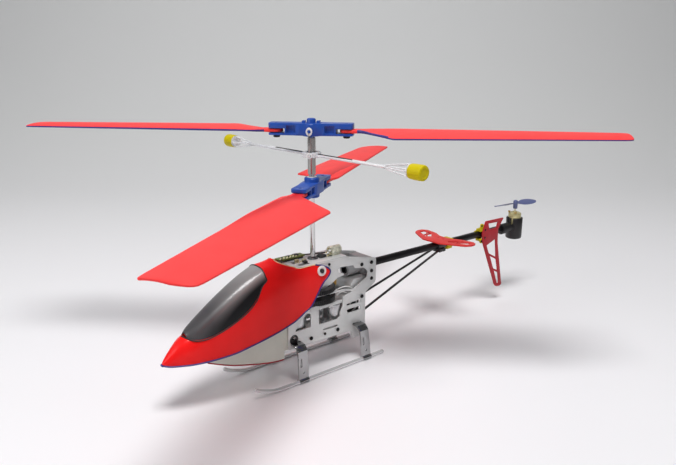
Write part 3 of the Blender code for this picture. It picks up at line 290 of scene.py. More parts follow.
def spline(points, steps):
    """Catmull-Rom curve through points."""
    pts = [Vector(p) for p in points]
    pts = [pts[0] * 2 - pts[1]] + pts + [pts[-1] * 2 - pts[-2]]
    out = []
    for i in range(1, len(pts) - 2):
        a, b, c, d = pts[i - 1:i + 3]
        for s in range(steps):
            t = s / steps
            out.append(0.5 * (b * 2 + (c - a) * t + (a * 2 - b * 5 + c * 4 - d) * t * t
                              + (b * 3 - a - c * 3 + d) * t * t * t))
    return out + [pts[-2]]


def tube(name, path, radius, sides=16):
    """Round rod along a path, with domed ends inside the path's length."""
    path = [Vector(p) for p in path]
    first = (path[0] - path[1]).normalized() * radius
    last = (path[-1] - path[-2]).normalized() * radius
    dome = [math.radians(d) for d in (80, 55, 28)]
    path = [path[0] + first * (math.sin(a) - 1.0) for a in dome] + [path[0] - first] + path[1:-1] + \
        [path[-1] - last] + [path[-1] + last * (math.sin(a) - 1.0) for a in reversed(dome)]
    narrowed = [radius * math.cos(a) for a in dome]
    radii = narrowed + [radius] * (len(path) - 2 * len(dome)) + narrowed[::-1]
    sections = []
    up = Vector((0.0, 0.0, 1.0))
    for i, p in enumerate(path):
        ahead = (path[min(i + 1, len(path) - 1)] - path[max(i - 1, 0)]).normalized()
        if abs(ahead.dot(up)) > 0.98:
            up = Vector((1.0, 0.0, 0.0))
        side = ahead.cross(up).normalized()
        up = side.cross(ahead).normalized()
        sections.append([p + (side * math.cos(a) + up * math.sin(a)) * radii[i]
                         for a in (2 * math.pi * k / sides for k in range(sides))])
    return rings(name, sections)


def evaluated(obj):
    """Bake an object's modifiers into its mesh."""
    graph = bpy.context.evaluated_depsgraph_get()
    graph.update()
    mesh = bpy.data.meshes.new_from_object(obj.evaluated_get(graph))
    obj.modifiers.clear()
    obj.data = mesh
    return obj


def combine(obj, others, operation):
    """Boolean the others into obj and delete them."""
    for other in others:
        mod = obj.modifiers.new("cut", "BOOLEAN")
        mod.operation = operation
        mod.solver = "EXACT"
        mod.object = other
    evaluated(obj)
    for other in others:
        bpy.data.objects.remove(other, do_unlink=True)
    return obj


def cut(obj, *others):
    """Take the others out of obj."""
    return combine(obj, others, "DIFFERENCE")


def join(obj, *others):
    """Fuse the others into obj."""
    return combine(obj, others, "UNION")


def merge(obj, *others):
    """Put separate closed shells into one object."""
    bm = bmesh.new()
    bm.from_mesh(obj.data)
    for other in others:
        bm.from_mesh(other.data)
        bpy.data.objects.remove(other, do_unlink=True)
    bm.to_mesh(obj.data)
    bm.free()
    return obj


def turn(obj, degrees, axis="Z"):
    """Rotate mesh data about an axis through the origin."""
    obj.data.transform(Matrix.Rotation(math.radians(degrees), 4, axis))
    return obj


def move(obj, x, y, z):
    """Shift mesh data."""
    obj.data.transform(Matrix.Translation((x, y, z)))
    return obj


def bevel(obj, width, angle=40.0, segments=2):
    """Round the sharp edges."""
    mod = obj.modifiers.new("bevel", "BEVEL")
    mod.width = width
    mod.segments = segments
    mod.limit_method = "ANGLE"
    mod.angle_limit = math.radians(angle)
    return evaluated(obj)


def finish_piece(obj, mat, node=None, body="airframe", smooth=38.0):
    """Scale to metres, move to the frame, shade, dress and ride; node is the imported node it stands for."""
    obj.data.transform(Matrix.Scale(MM, 4))
    move(obj, 0.0, MAST_Y, 0.0)
    if not obj.data.materials:
        obj.data.materials.append(MATERIALS[mat])
    obj.data.polygons.foreach_set("use_smooth", [True] * len(obj.data.polygons))
    obj.data.set_sharp_from_angle(angle=math.radians(smooth))
    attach(obj, body)
    if node:
        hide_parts(node)
    return obj


def lerp_table(table, x):
    """Linear interpolation in a table of (x, value)."""
    if x <= table[0][0]:
        return table[0][1]
    for (x0, v0), (x1, v1) in zip(table, table[1:]):
        if x <= x1:
            return v0 + (v1 - v0) * (x - x0) / (x1 - x0)
    return table[-1][1]


# ---------------------------------------------------------------- frame

PLATE_OUTLINE = [(-32.5, 24.6), (28.0, 23.8), (29.2, 17.0), (42.6, 17.0), (42.6, 52.3), (53.6, 59.3),
                 (53.6, 78.9), (24.0, 85.3), (-24.0, 85.3), (-28.5, 80.0), (-28.5, 58.0), (-32.5, 50.0)]
UPPER_WINDOW = [(-14.5, 60.9), (20.4, 59.9), (25.0, 58.9), (30.6, 58.0), (44.5, 64.6), (44.8, 69.5),
                (41.0, 73.2), (31.5, 74.4), (30.6, 77.3), (16.5, 78.4), (14.8, 77.0), (14.8, 75.0),
                (16.5, 73.6), (20.5, 72.8), (20.5, 71.4), (14.3, 70.6), (7.5, 66.8), (3.0, 65.4),
                (-14.5, 65.2)]
GEAR_WINDOW = [(-14.5, 52.6), (-4.0, 52.6), (-4.0, 37.2), (13.7, 37.0), (16.8, 38.5), (16.8, 41.6),
               (19.3, 46.2), (19.8, 53.8), (28.6, 56.3), (26.0, 57.4), (20.0, 58.8), (-14.5, 59.6)]
TRIANGLE_WINDOW = [(-26.6, 37.5), (-11.6, 37.5), (-11.6, 47.4), (-13.4, 49.0), (-16.6, 48.6)]
SLOT_WINDOWS = [[(23.2, 45.4), (37.6, 45.2), (37.6, 47.9), (23.2, 47.0)],
                [(23.4, 39.1), (37.6, 39.1), (37.6, 42.4), (23.4, 42.4)],
                [(-0.1, 31.3), (14.1, 31.0), (14.1, 32.6), (-0.1, 32.9)]]
DECK_WINDOWS = [[(5.0, -19.0), (9.0, -19.0), (9.0, -9.0), (5.0, -9.0)],
                [(-2.5, -19.5), (2.5, -19.5), (2.5, -13.0), (-2.5, -13.0)]]
LEG_Y = {"leg_front": -25.9, "leg_rear": 34.0}
LEG_WIDTH = 8.5
SOCKET_YZ = (-27.4, 31.6)


def rounded(outline, radius, steps=4):
    """Outline with its corners rounded off."""
    out = []
    n = len(outline)
    for i in range(n):
        here = Vector(outline[i])
        before, after = Vector(outline[i - 1]), Vector(outline[(i + 1) % n])
        back, forward = before - here, after - here
        reach = min(radius, back.length * 0.4, forward.length * 0.4)
        p, q = here + back.normalized() * reach, here + forward.normalized() * reach
        for s in range(steps + 1):
            t = s / steps
            out.append(tuple(p * (1 - t) ** 2 + here * 2 * t * (1 - t) + q * t ** 2))
    return out


def side_plate(node, sign):
    """Side plate with rounded window corners and softened edges."""
    inner, outer = sorted((sign * PLATE_IN, sign * PLATE_OUT))
    reach = (inner - 2.0, outer + 2.0)
    plate = prism(node + "_skin", rounded(PLATE_OUTLINE, 1.6), inner, outer)
    cutters = [prism("window", rounded(w, 1.1), *reach)
               for w in [UPPER_WINDOW, GEAR_WINDOW, TRIANGLE_WINDOW] + SLOT_WINDOWS]
    for y, z in FRAME_SCREWS + SMALL_SCREWS:
        cutters.append(cross_rod("hole", 0.8, *reach, (y, z), 20))
    for y in LEG_Y.values():
        fore, aft = y - LEG_WIDTH / 2 - 0.4, y + LEG_WIDTH / 2 + 0.4
        slot = [(fore, 26.6), (aft, 26.6), (aft, 29.4), (fore, 29.4)]
        cutters.append(prism("slot", rounded(slot, 0.7), *reach))
    cutters.append(cross_rod("leg_recess", 3.8, *reach, SOCKET_YZ))
    cut(plate, *cutters)
    bevel(plate, 0.16)
    finish_piece(plate, "frame_silver", node)
    span = sorted((sign * (PLATE_OUT - 0.1), sign * (PLATE_OUT + 0.16)))
    washers = merge(*[cross_rod("boss", 2.4, *span, (y, z), 28)
                      for y, z in FRAME_SCREWS if z > 55.0 or z < 25.0])
    washers.name = node + "_bosses"
    finish_piece(washers, "frame_silver")


def side_screw(name, x, y, z, sign, radius):
    """Button head screw with a cross recess, seated on a side plate."""
    profile = [(0.0, -2.2), (0.72, -2.2), (0.72, 0.0), (radius, 0.0), (radius, 0.35), (radius * 0.82, 0.75),
               (radius * 0.45, 0.95), (0.0, 0.98)]
    head = revolve(name, profile, sides=28)
    long, wide, deep = (-radius * 0.5, radius * 0.5), (-0.17, 0.17), (0.55, 1.4)
    cut(head, box("arm", long, wide, deep), box("arm", wide, long, deep))
    turn(head, 23.0 * (y + z))  # every cross stands at its own angle
    return move(turn(head, 90.0 * sign, "Y"), sign * x, y, z)


def frame_inside():
    """Bulkhead and baffle seen through the windows, a black block behind the rear slots as painted shade, and
    a screwed socket on each front leg.
    """
    outline = [(28.6, 57.0), (30.2, 61.8), (33.0, 64.6), (45.0, 64.8), (45.0, 56.0), (40.0, 52.6),
               (30.0, 52.6)]
    wall = bevel(prism("rear_bulkhead", outline, -9.5, 9.5), 0.35)
    finish_piece(wall, "frame_silver")
    baffle = box("front_baffle", (-9.4, 9.4), (-34.4, -15.4), (31.0, 48.4))
    cut(baffle, box("hollow", (-8.2, 8.2), (-33.2, -14.0), (30.0, 49.0)),
        box("groove", (-10.0, 10.0), (-24.6, -24.0), (33.0, 46.0)))
    finish_piece(bevel(baffle, 0.3), "baffle_green")
    # Black block behind the rear slot windows: a dark thing that stands in for the shade inside the frame.
    block = box("rear_shade_block", (-7.0, 7.0), (31.0, 40.6), (36.0, 48.6))
    cut(block, box("groove", (-8.0, 8.0), (33.4, 34.6), (35.0, 50.0)),
        box("groove", (-8.0, 8.0), (37.4, 38.2), (35.0, 50.0)))
    finish_piece(bevel(block, 0.3), "chip_black")
    for side, sign in SIDES:
        socket = cross_rod("leg_socket_" + side, 3.7, *sorted((sign * 10.2, sign * 11.9)), SOCKET_YZ)
        cut(socket, cross_rod("eye", 1.2, -14.0, 14.0, (-28.2, 32.6), 24),
            box("gap", sorted((sign * 11.3, sign * 12.4)), (-26.6, -25.8), (28.0, 35.0)))
        finish_piece(bevel(socket, 0.3), "holder_black")
        screw = side_screw("leg_socket_screw_" + side, 11.95, -27.0, 33.0, sign, 1.2)
        finish_piece(screw, "shaft_steel")


def frame_screws():
    """All screws of the two side plates."""
    for side, sign in SIDES:
        heads = [side_screw("screws_" + side, PLATE_OUT + 0.17, y, z, sign, 1.5) for y, z in FRAME_SCREWS]
        heads += [side_screw("screw", PLATE_OUT + 0.03, y, z, sign, 1.05) for y, z in SMALL_SCREWS]
        finish_piece(merge(*heads), "screw_black")


def decks():
    """Top, middle and bottom decks, boom block and spacer."""
    outline = [(-DECK_HALF, 80.6), (-DECK_HALF, 86.0), (DECK_HALF, 86.0), (DECK_HALF, 80.6),
               (DECK_HALF - 1.2, 80.6), (DECK_HALF - 1.2, 84.9), (1.2 - DECK_HALF, 84.9),
               (1.2 - DECK_HALF, 80.6)]
    top = prism("top_deck_skin", rounded(outline, 0.5), -24.0, 24.0, "xz")
    cut(top, cylinder("bearing_hole", 4.05, 80.0, 90.0),
        *[prism("window", rounded(w, 1.2), 80.0, 90.0, "xy") for w in DECK_WINDOWS])
    bevel(top, 0.14)
    finish_piece(top, "frame_silver", "top_deck")
    mid = box("mid_deck_skin", (-DECK_HALF, DECK_HALF), (-30.0, 41.5), (48.8, 51.2))
    holes = [cylinder("seat", 3.05, 47.0, 53.0)]
    for s in (-1, 1):
        holes.append(cylinder("boss_hole", 3.3, 47.0, 53.0, centre=(0.0, s * MOTOR_Y)))
        holes += [cylinder("screw_hole", 0.9, 47.0, 53.0, (t * 6.0, s * MOTOR_Y), sides=20)
                  for t in (-1, 1)]
    cut(mid, *holes)
    bevel(mid, 0.2)
    finish_piece(mid, "frame_silver", "mid_deck")
    low = box("bottom_plate_skin", (-DECK_HALF, DECK_HALF), (-20.8, 28.8), (27.0, 29.8))
    cut(low, *[cylinder("hole", 3.0, 25.0, 32.0, centre=(0.0, y), sides=32) for y in (-13.0, 0.0, 13.0)])
    bevel(low, 0.25)
    finish_piece(low, "frame_silver", "bottom_plate")
    block = box("boom_mount_skin", (-DECK_HALF, DECK_HALF), (45.2, 53.2), (60.4, 78.4))
    join(block, round_boom("collar", 5.3, 31.0, 46.0, 48))
    cut(block, round_boom("boom_hole", BOOM_R + 0.05, 20.0, 60.0, 48),
        box("relief", (-12.0, -6.6), (44.0, 51.0), (63.4, 75.4)),
        box("relief", (6.6, 12.0), (44.0, 47.0), (66.0, 74.0)))
    bevel(block, 0.4, segments=3)
    finish_piece(block, "mount_grey", "boom_mount")
    spacer = cross_rod("rear_spacer_skin", 2.1, -DECK_HALF, DECK_HALF, (39.4, 19.2))
    bevel(spacer, 0.25)
    finish_piece(spacer, "frame_silver", "rear_spacer")


# ---------------------------------------------------------------- drive

def lathe(node, profile, mat, body="airframe", centre=(0.0, 0.0), sides=64):
    """Turned piece that stands for a node."""
    return finish_piece(revolve(node + "_turned", profile, centre, sides), mat, node, body=body,
                        smooth=30.0)


def drive():
    """Bearings, motors, shafts and sleeve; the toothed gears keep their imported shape."""
    lathe("top_bearing", [(2.0, 84.0), (3.98, 84.0), (3.98, 86.4), (3.7, 86.75), (3.3, 86.75), (3.15, 86.5),
                          (2.7, 86.5), (2.55, 86.9), (2.05, 87.0)], "bearing_steel")
    lathe("lower_bearing", [(1.3, 48.8), (2.98, 48.8), (2.98, 51.3), (2.4, 51.4), (1.3, 51.4)],
          "bearing_steel")
    for name, y, top in (("main_motor_front", -MOTOR_Y, 58.4), ("main_motor_rear", MOTOR_Y, 65.8)):
        profile = [(0.0, 30.0), (3.0, 30.0), (3.2, 30.3), (8.4, 30.3), (9.4, 30.7), (9.95, 31.6),
                   (10.0, 33.2), (9.8, 33.4), (9.8, 33.8), (10.0, 34.0), (10.0, 44.8), (9.8, 45.0),
                   (9.8, 45.4), (10.0, 45.6), (10.0, 47.4), (9.6, 48.3), (9.0, 48.7), (3.1, 48.7),
                   (3.1, 50.4), (2.8, 50.6), (0.75, 50.6), (0.75, top - 0.2), (0.6, top), (0.0, top)]
        motor = revolve(name + "_can", profile, (0.0, y), 72)
        cut(motor, *[move(turn(box("vent", (7.6, 11.0), (-1.6, 1.6), (32.0, 35.6)), 45 + 90 * k), 0.0, y, 0.0)
                     for k in range(4)])
        finish_piece(motor, "motor_steel", name, smooth=30.0)
    outer = [(1.35, 59.6), (1.85, 59.6), (1.95, 59.8), (1.95, 147.2), (1.75, 147.5), (1.35, 147.5)]
    lathe("outer_shaft", outer, "mast_steel", "lower_rotor")
    inner = [(0.0, 46.5), (1.05, 46.5), (1.25, 46.8), (1.25, 184.1), (1.1, 184.4), (0.0, 184.4)]
    lathe("inner_shaft", inner, "mast_steel", "upper_rotor", sides=40)
    sleeve = revolve("shaft_sleeve_turned", [(1.28, 148.6), (2.0, 148.6), (2.1, 148.8), (2.1, 150.0),
                                             (2.7, 150.1), (2.9, 150.4), (2.9, 176.5), (2.7, 176.8),
                                             (1.28, 176.8)])
    cut(sleeve, cross_pin("hole", FLYBAR_Z, FLYBAR_ANGLE + 90.0, 0.73, 8.0))
    finish_piece(sleeve, "shaft_steel", "shaft_sleeve", body="upper_rotor", smooth=30.0)
    collar = revolve("mast_washer", [(2.0, 147.55), (3.4, 147.55), (3.5, 147.7), (3.5, 148.3), (3.4, 148.45),
                                     (2.0, 148.45)])
    finish_piece(collar, "link_white", body="upper_rotor", smooth=30.0)
    for name, z, degrees, radius, half in (("head_pin", UPPER_Z, UPPER_ANGLE, 0.8, 7.4),
                                           ("flybar_pin", FLYBAR_Z, FLYBAR_ANGLE + 90.0, 0.7, 6.7)):
        pin = bevel(cross_pin(name + "_turned", z, degrees, radius, half), 0.15)
        finish_piece(pin, "shaft_steel", name, body="upper_rotor")
    for node in ("inner_gear", "outer_gear", "pinion_front", "pinion_rear"):
        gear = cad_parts[node]
        gear.data.materials.clear()
        gear.data.materials.append(MATERIALS["pinion_brass" if "pinion" in node else "gear_black"])


def cross_pin(name, z, degrees, radius, half_length):
    """Horizontal pin through the mast."""
    pin = cross_rod(name, radius, -half_length, half_length, (0.0, z), 32)
    return turn(pin, degrees)


# ---------------------------------------------------------------- rotors

def grip_outline(width, chamfer):
    """Planform of a two-ended blade holder along X with chamfered square ends."""
    end = GRIP_END_R
    waist = width + 0.9
    right = [(end - chamfer, -width), (end, -width + chamfer), (end, width - chamfer), (end - chamfer, width)]
    left = [(-x, -y) for x, y in right]
    return right + [(13.0, width), (7.0, waist), (-7.0, waist), (-13.0, width)] + left + \
        [(-13.0, -width), (-7.0, -waist), (7.0, -waist), (13.0, -width)]


def grip_body(name, z, slot, extras, bore, bore_z):
    """Blade holder with forked ends, lightening pockets and rounded edges."""
    body = prism(name, rounded(grip_outline(5.6, 1.4), 0.9, 3), z[0], z[1], "xy")
    join(body, *extras)
    cutters = []
    for s in (-1, 1):
        span = sorted((s * 18.4, s * (GRIP_END_R + 2.0)))
        cutters.append(box("slot", span, (-9.0, 9.0), slot))
        cutters.append(cylinder("hole", PIN_HOLE_R, z[0] - 2, z[1] + 2, centre=(s * PIN_R, 0.0), sides=28))
        for t in (-1, 1):
            pocket = box("pocket", sorted((s * 10.5, s * 17.4)), sorted((t * 3.9, t * 8.0)),
                         (z[0] + 1.6, z[1] - 1.6))
            cutters.append(pocket)
    cutters.append(cylinder("bore", bore, *bore_z))
    cut(body, *cutters)
    return bevel(body, 0.28, 35.0)


def blade_screws(prefix, grip, angle, body):
    """Screw through a fork with its cross-recessed head below and its flush end above."""
    z_low, z_top = grip
    made = []
    for s in (-1, 1):
        profile = [(0.0, z_low - 2.0), (2.0, z_low - 2.0), (2.5, z_low - 1.6), (2.5, z_low - 0.25),
                   (1.1, z_low - 0.05), (1.1, z_top - 0.5), (0.9, z_top - 0.3), (0.0, z_top - 0.3)]
        screw = revolve(prefix + "_screws", profile, (s * PIN_R, 0.0), 32)
        cross = [box("arm", (s * PIN_R - x, s * PIN_R + x), (-y, y), (z_low - 3.0, z_low - 1.5))
                 for x, y in ((1.0, 0.2), (0.2, 1.0))]
        made.append(cut(screw, *cross))
    both = turn(merge(*made), angle)
    finish_piece(both, "screw_black", body=body, smooth=30.0)


def heads():
    """Lower hub and upper head, each with its blade screws."""
    boss = revolve("boss", [(0.0, 133.1), (4.9, 133.1), (5.6, 133.8), (5.6, 147.2), (4.8, 148.0),
                            (0.0, 148.0)])
    slot = (LOWER_Z - 1.8, LOWER_Z + 1.8)
    hub = turn(grip_body("lower_hub_moulded", LOWER_GRIP, slot, [boss], 1.98, (130.0, 150.0)), LOWER_ANGLE)
    finish_piece(hub, "hub_blue", "lower_hub", body="lower_rotor", smooth=32.0)
    blade_screws("lower", LOWER_GRIP, LOWER_ANGLE, "lower_rotor")
    body = revolve("boss", [(0.0, 178.0), (6.4, 178.0), (7.0, 178.6), (7.0, 186.5), (6.3, 187.2),
                            (0.0, 187.2)])
    post = revolve("post", [(0.0, 186.0), (3.2, 186.0), (3.2, 189.6), (2.9, 190.2), (2.3, 190.5),
                            (0.0, 190.5)])
    peg = cylinder("peg", 0.8, -10.6, 10.6, centre=(0.0, UPPER_Z), plane="xz", sides=24)
    ears = [box("ear", sorted((s * 4.2, s * 6.4)), (-2.6, 2.6), (186.5, 188.8)) for s in (-1, 1)]
    slot = (UPPER_Z - 1.7, UPPER_Z + 1.7)
    head = grip_body("upper_head_moulded", UPPER_GRIP, slot, [body, post, peg] + ears, 2.3, (170.0, 185.4))
    cut(head, cross_rod("pin_hole", 0.86, -7.6, 7.6, (0.0, UPPER_Z), 24))
    turn(head, UPPER_ANGLE)
    finish_piece(head, "hub_blue", "upper_head", body="upper_head", smooth=32.0)
    blade_screws("upper", UPPER_GRIP, UPPER_ANGLE, "upper_head")


BLADE_PLAN = [  # span, leading edge, trailing edge, pitch in degrees, thickness
    (20.9, 1.6, -1.6, 0.0, 2.2), (21.5, 3.0, -3.0, 0.0, 2.5), (22.6, 4.2, -4.2, 0.0, 2.6),
    (24.4, 4.75, -4.75, 0.0, 2.6), (26.0, 4.8, -4.8, 0.0, 2.6), (31.5, 4.8, -4.8, 0.0, 2.6),
    (33.5, 5.1, -4.8, 0.2, 2.5), (36.0, 5.8, -5.0, 0.6, 2.3), (38.5, 7.2, -7.4, 1.3, 2.1),
    (42.0, 8.4, -12.0, 2.4, 1.9), (46.0, 8.6, -16.6, 3.0, 1.8), (50.0, 8.6, -21.1, 3.5, 1.75),
    (54.0, 8.6, -25.6, 3.9, 1.9), (57.5, 8.6, -29.7, 4.2, 2.0), (60.0, 8.6, -32.4, 4.35, 2.1),
    (61.0, 8.6, -33.1, 4.4, 2.1), (62.5, 8.6, -33.2, 4.4, 2.1), (75.0, 8.6, -32.2, 4.3, 2.05),
    (90.0, 8.6, -30.9, 4.15, 2.0), (110.0, 8.6, -29.2, 4.0, 2.0), (135.0, 8.6, -27.05, 3.75, 1.9),
    (160.0, 8.6, -24.9, 3.5, 1.8), (185.0, 8.6, -22.7, 3.25, 1.7), (203.0, 8.6, -21.1, 3.1, 1.6),
    (209.5, 8.6, -20.5, 3.0, 1.6), (212.6, 8.55, -19.8, 3.0, 1.5), (214.3, 8.5, -18.6, 3.0, 1.45),
    (215.4, 8.35, -16.6, 3.0, 1.4), (216.1, 8.1, -13.0, 3.0, 1.3), (216.5, 7.6, -8.5, 3.0, 1.2)]
CHORD_STEPS = 14
ROOT_END, NECK_END, TIP_RIM = 33.0, 58.0, 215.9

# The low fold on a lower blade: chord place at FOLD_SPAN and its slope along the span, half width, and
# the spans where it starts, begins to fade and is gone.
FOLD_SPAN, FOLD_PLACE, FOLD_SLOPE, FOLD_WIDTH = 44.0, 3.0, 0.09, 1.9
FOLD_START, FOLD_FADE, FOLD_END = 40.0, 80.0, 140.0
FOLD_SPANS = {FOLD_START + 3.0 * i for i in range(34)}


def plan_value(span, column):
    """Value of a column of the blade's plan at a span."""
    return lerp_table([(row[0], row[column]) for row in BLADE_PLAN], span)


def fold_shaded_red(name, degrees):
    """Blade red with painted shade, a deeper red beside the fold that runs out from the root."""
    mat = surface(name, BLADE_RED[0], **BLADE_RED[1])
    nodes = mat.node_tree.nodes
    turned = nodes.new("ShaderNodeVectorRotate")
    turned.rotation_type = "Z_AXIS"
    feed(turned, {"Vector": nodes["Texture Coordinate"].outputs["Object"], "Center": (0.0, MAST_Y, 0.0),
                  "Angle": math.radians(-degrees)})
    split = shader(mat, "SeparateXYZ", {"Vector": turned.outputs["Vector"]})
    slant = nodes.new("ShaderNodeMath")
    slant.operation = "MULTIPLY_ADD"
    feed(slant, {0: split.outputs["X"], 1: FOLD_SLOPE, 2: split.outputs["Y"]})
    across = slant.outputs["Value"]
    start = MAST_Y + (FOLD_SLOPE * FOLD_SPAN - FOLD_PLACE) * MM
    # The painted shade starts sharply at the fold's top and fades out across the blade and along it (metres).
    factor = share_between(mat, across, start, start + 0.0006)
    for share in (share_between(mat, across, start + 0.013, start + 0.002),
                  share_between(mat, split.outputs["X"], 0.150, 0.080)):
        product = nodes.new("ShaderNodeMath")
        product.operation = "MULTIPLY"
        feed(product, {0: factor, 1: share})
        factor = product.outputs["Value"]
    # Deeper red of the painted shade beside the fold.
    tone = blend_colour(mat, factor, nodes["Color Ramp"].outputs["Color"], (0.62, 0.018, 0.022, 1.0))
    feed(nodes["Principled BSDF"], {"Base Color": tone})
    return mat


def blade(node, hand, degrees, z, twist):
    """Cambered blade: hand 1 is an upper one with a navy rim and underside, -1 a lower one with the fold."""
    sections = []
    for r in sorted({row[0] for row in BLADE_PLAN} | (FOLD_SPANS if hand < 0 else set())):
        lead, trail, pitch, thick = [plan_value(r, k) for k in (1, 2, 3, 4)]
        chord = lead - trail
        swell = max(0.0, min(1.0, (r - 36.0) / 16.0))
        camber = 0.045 * chord * swell
        upper, lower = [], []
        for i in range(CHORD_STEPS + 1):
            c = 0.5 - 0.5 * math.cos(math.pi * i / CHORD_STEPS)
            s = lead - c * chord
            mean = s * math.tan(math.radians(pitch * twist)) + 4 * camber * c * (1 - c)
            rim = min(1.0, min(c, 1.0 - c) * chord / 0.9)
            half = thick / 2 * (0.6 + 0.4 * math.sqrt(rim)) * (1.0 - 0.2 * c * swell)
            fold = 0.0
            if hand < 0 and r > FOLD_START:
                ridge = FOLD_PLACE + FOLD_SLOPE * (r - FOLD_SPAN)
                fade = max(0.0, min(1.0, (FOLD_END - r) / (FOLD_END - FOLD_FADE)))
                fold = math.exp(-((s - ridge) / FOLD_WIDTH) ** 2) * fade
            upper.append((r, hand * s, z + mean + half + fold))
            lower.append((r, hand * s, z + mean - half))
        sections.append(upper + list(reversed(lower)))
    body = rings(node + "_moulded", sections)
    # Lower blades take the red with painted shade beside the fold.
    body.data.materials.append(MATERIALS["blade_coral"] if hand > 0 else fold_shaded_red(node + "_red", degrees))
    body.data.materials.append(MATERIALS["edge_navy"])
    for face in body.data.polygons:
        centre = face.center
        lead, trail = plan_value(centre.x, 1), plan_value(centre.x, 2)
        near_rim = min(lead - hand * centre.y, hand * centre.y - trail) < 0.35 or centre.x > TIP_RIM
        neck = centre.x < NECK_END and hand * centre.y < trail + 1.6
        navy = near_rim and face.normal.z < 0.55 or neck or face.normal.z < -0.8
        if hand > 0 and centre.x > ROOT_END and navy:
            face.material_index = 1
    cut(body, cylinder("hole", PIN_HOLE_R, z - 4, z + 4, centre=(PIN_R, 0.0), sides=28))
    turn(body, degrees)
    finish_piece(body, "blade_coral", node, body=node, smooth=50.0)


def blades():
    """Four rotor blades."""
    for suffix, flip in (("a", 0.0), ("b", 180.0)):
        blade("lower_blade_" + suffix, -1, LOWER_ANGLE + flip, LOWER_Z, 1.0)
        blade("upper_blade_" + suffix, 1, UPPER_ANGLE + flip, UPPER_Z, 0.4)


def flybar():
    """Clear bar: ring, twin rods on each side that open into a four-ribbed basket."""
    ring = revolve("flybar_moulded", [(4.2, FLYBAR_Z - 1.8), (6.5, FLYBAR_Z - 1.8), (6.8, FLYBAR_Z - 1.5),
                                      (6.8, FLYBAR_Z + 1.5), (6.5, FLYBAR_Z + 1.8), (4.2, FLYBAR_Z + 1.8)])
    parts = []
    for s in (-1, 1):
        for t in (-1, 1):
            rod = [(s * x, t * y, FLYBAR_Z) for x, y in ((6.4, 1.7), (40.0, 1.5), (74.0, 1.2))]
            parts.append(tube("rod", rod, 0.85, 12))
            flat = [(s * x, t * y, FLYBAR_Z) for x, y in ((71.0, 1.2), (80.0, 2.4), (94.4, 4.2))]
            tall = [(s * x, 0.0, FLYBAR_Z + t * z) for x, z in ((71.0, 0.5), (80.0, 2.2), (94.4, 4.2))]
            parts += [tube("rib", spline(rib, 6), 0.6, 12) for rib in (flat, tall)]
        parts.append(cross_rod("rim", 4.6, *sorted((s * 94.0, s * 94.9)), (0.0, FLYBAR_Z)))
    merge(ring, *parts)
    turn(ring, FLYBAR_ANGLE)
    cores = [tube("flybar_core", [(s * x, 0.0, FLYBAR_Z + 0.7) for x in (6.9, 24.0, 42.0)], 0.55, 12)
             for s in (-1, 1)]
    finish_piece(turn(merge(*cores), FLYBAR_ANGLE), "chip_black", body="flybar")
    merge(ring, *[turn(cross_rod("peg", 0.8, *sorted((s * 6.2, s * 10.6)), (0.0, FLYBAR_Z), 24),
                       LINK_ANGLE) for s in (-1, 1)])
    finish_piece(ring, "flybar_clear", "flybar", body="flybar", smooth=40.0)
    for name, s in (("flybar_weight_a", 1), ("flybar_weight_b", -1)):
        profile = [(0.0, 0.0), (4.4, 0.0), (4.75, 0.12), (4.9, 0.5), (4.95, 1.4), (5.1, 3.6), (5.1, 9.2),
                   (5.0, 9.9), (4.75, 10.4), (4.2, 10.7), (3.3, 10.75), (3.0, 10.5), (0.0, 10.4)]
        weight = revolve(name + "_moulded", profile)
        turn(move(turn(weight, 90.0 * s, "Y"), s * 95.0, 0.0, FLYBAR_Z), FLYBAR_ANGLE)
        finish_piece(weight, "trim_yellow", name, body="flybar", smooth=30.0)


def links():
    """Two white links with rounded eyelets."""
    lo, hi = LINK_R - 0.7, LINK_R + 0.7
    for name, degrees in (("link_a", LINK_ANGLE), ("link_b", LINK_ANGLE + 180.0)):
        oval = [(2.3 * y, UPPER_Z + 2.9 * z) for y, z in circle(1.0, sides=40)]
        body = prism(name + "_moulded", oval, lo, hi, "yz")
        join(body, cross_rod("eye", 2.0, lo, hi, (0.0, FLYBAR_Z), 40))
        cut(body, *[cross_rod("hole", 1.25, lo - 1, hi + 1, (0.0, z), 32)
                    for z in (UPPER_Z, FLYBAR_Z)])
        bevel(body, 0.2)
        turn(body, degrees)
        finish_piece(body, "link_white", name, body=name)
        rod = tube(name + "_rod", [(LINK_R, 0.0, z) for z in (FLYBAR_Z + 1.4, 172.0, UPPER_Z - 2.2)], 0.5, 14)
        finish_piece(turn(rod, degrees), "shaft_steel", body=name)


# ---------------------------------------------------------------- canopy

NOSE_Y, SCREEN_FRONT_Y, SCREEN_REAR_Y = -126.0, -111.0, -50.0
STATIONS = [NOSE_Y, -125.2, -123.6, -120.6, SCREEN_FRONT_Y, -106.0, -98.0, -88.0, -78.0, -68.0, -60.0, -54.5,
            SCREEN_REAR_Y]
BOTTOM_Z = [(-126.0, 37.4), (-124.5, 36.8), (-121.0, 36.3), (-116.0, 36.0), (-105.0, 35.6), (-92.0, 35.9),
            (-78.0, 37.2), (-62.6, 40.2), (-45.0, 43.6), (-30.0, 47.8), (-20.0, 53.4), (-14.0, 57.1),
            (-5.0, 62.0), (8.0, 66.0)]
TOP_Z = [(-126.0, 37.4), (-125.2, 38.8), (-123.6, 40.8), (-120.6, 44.2), (-116.0, 49.0), (-111.0, 54.1),
         (-104.0, 59.4), (-97.0, 64.4), (-90.0, 69.3), (-82.0, 74.7), (-74.0, 79.6), (-66.0, 84.0),
         (-59.5, 87.0), (-54.5, 88.9), (-50.0, 90.4), (-38.0, 94.2), (0.0, 94.4), (8.0, 94.4)]
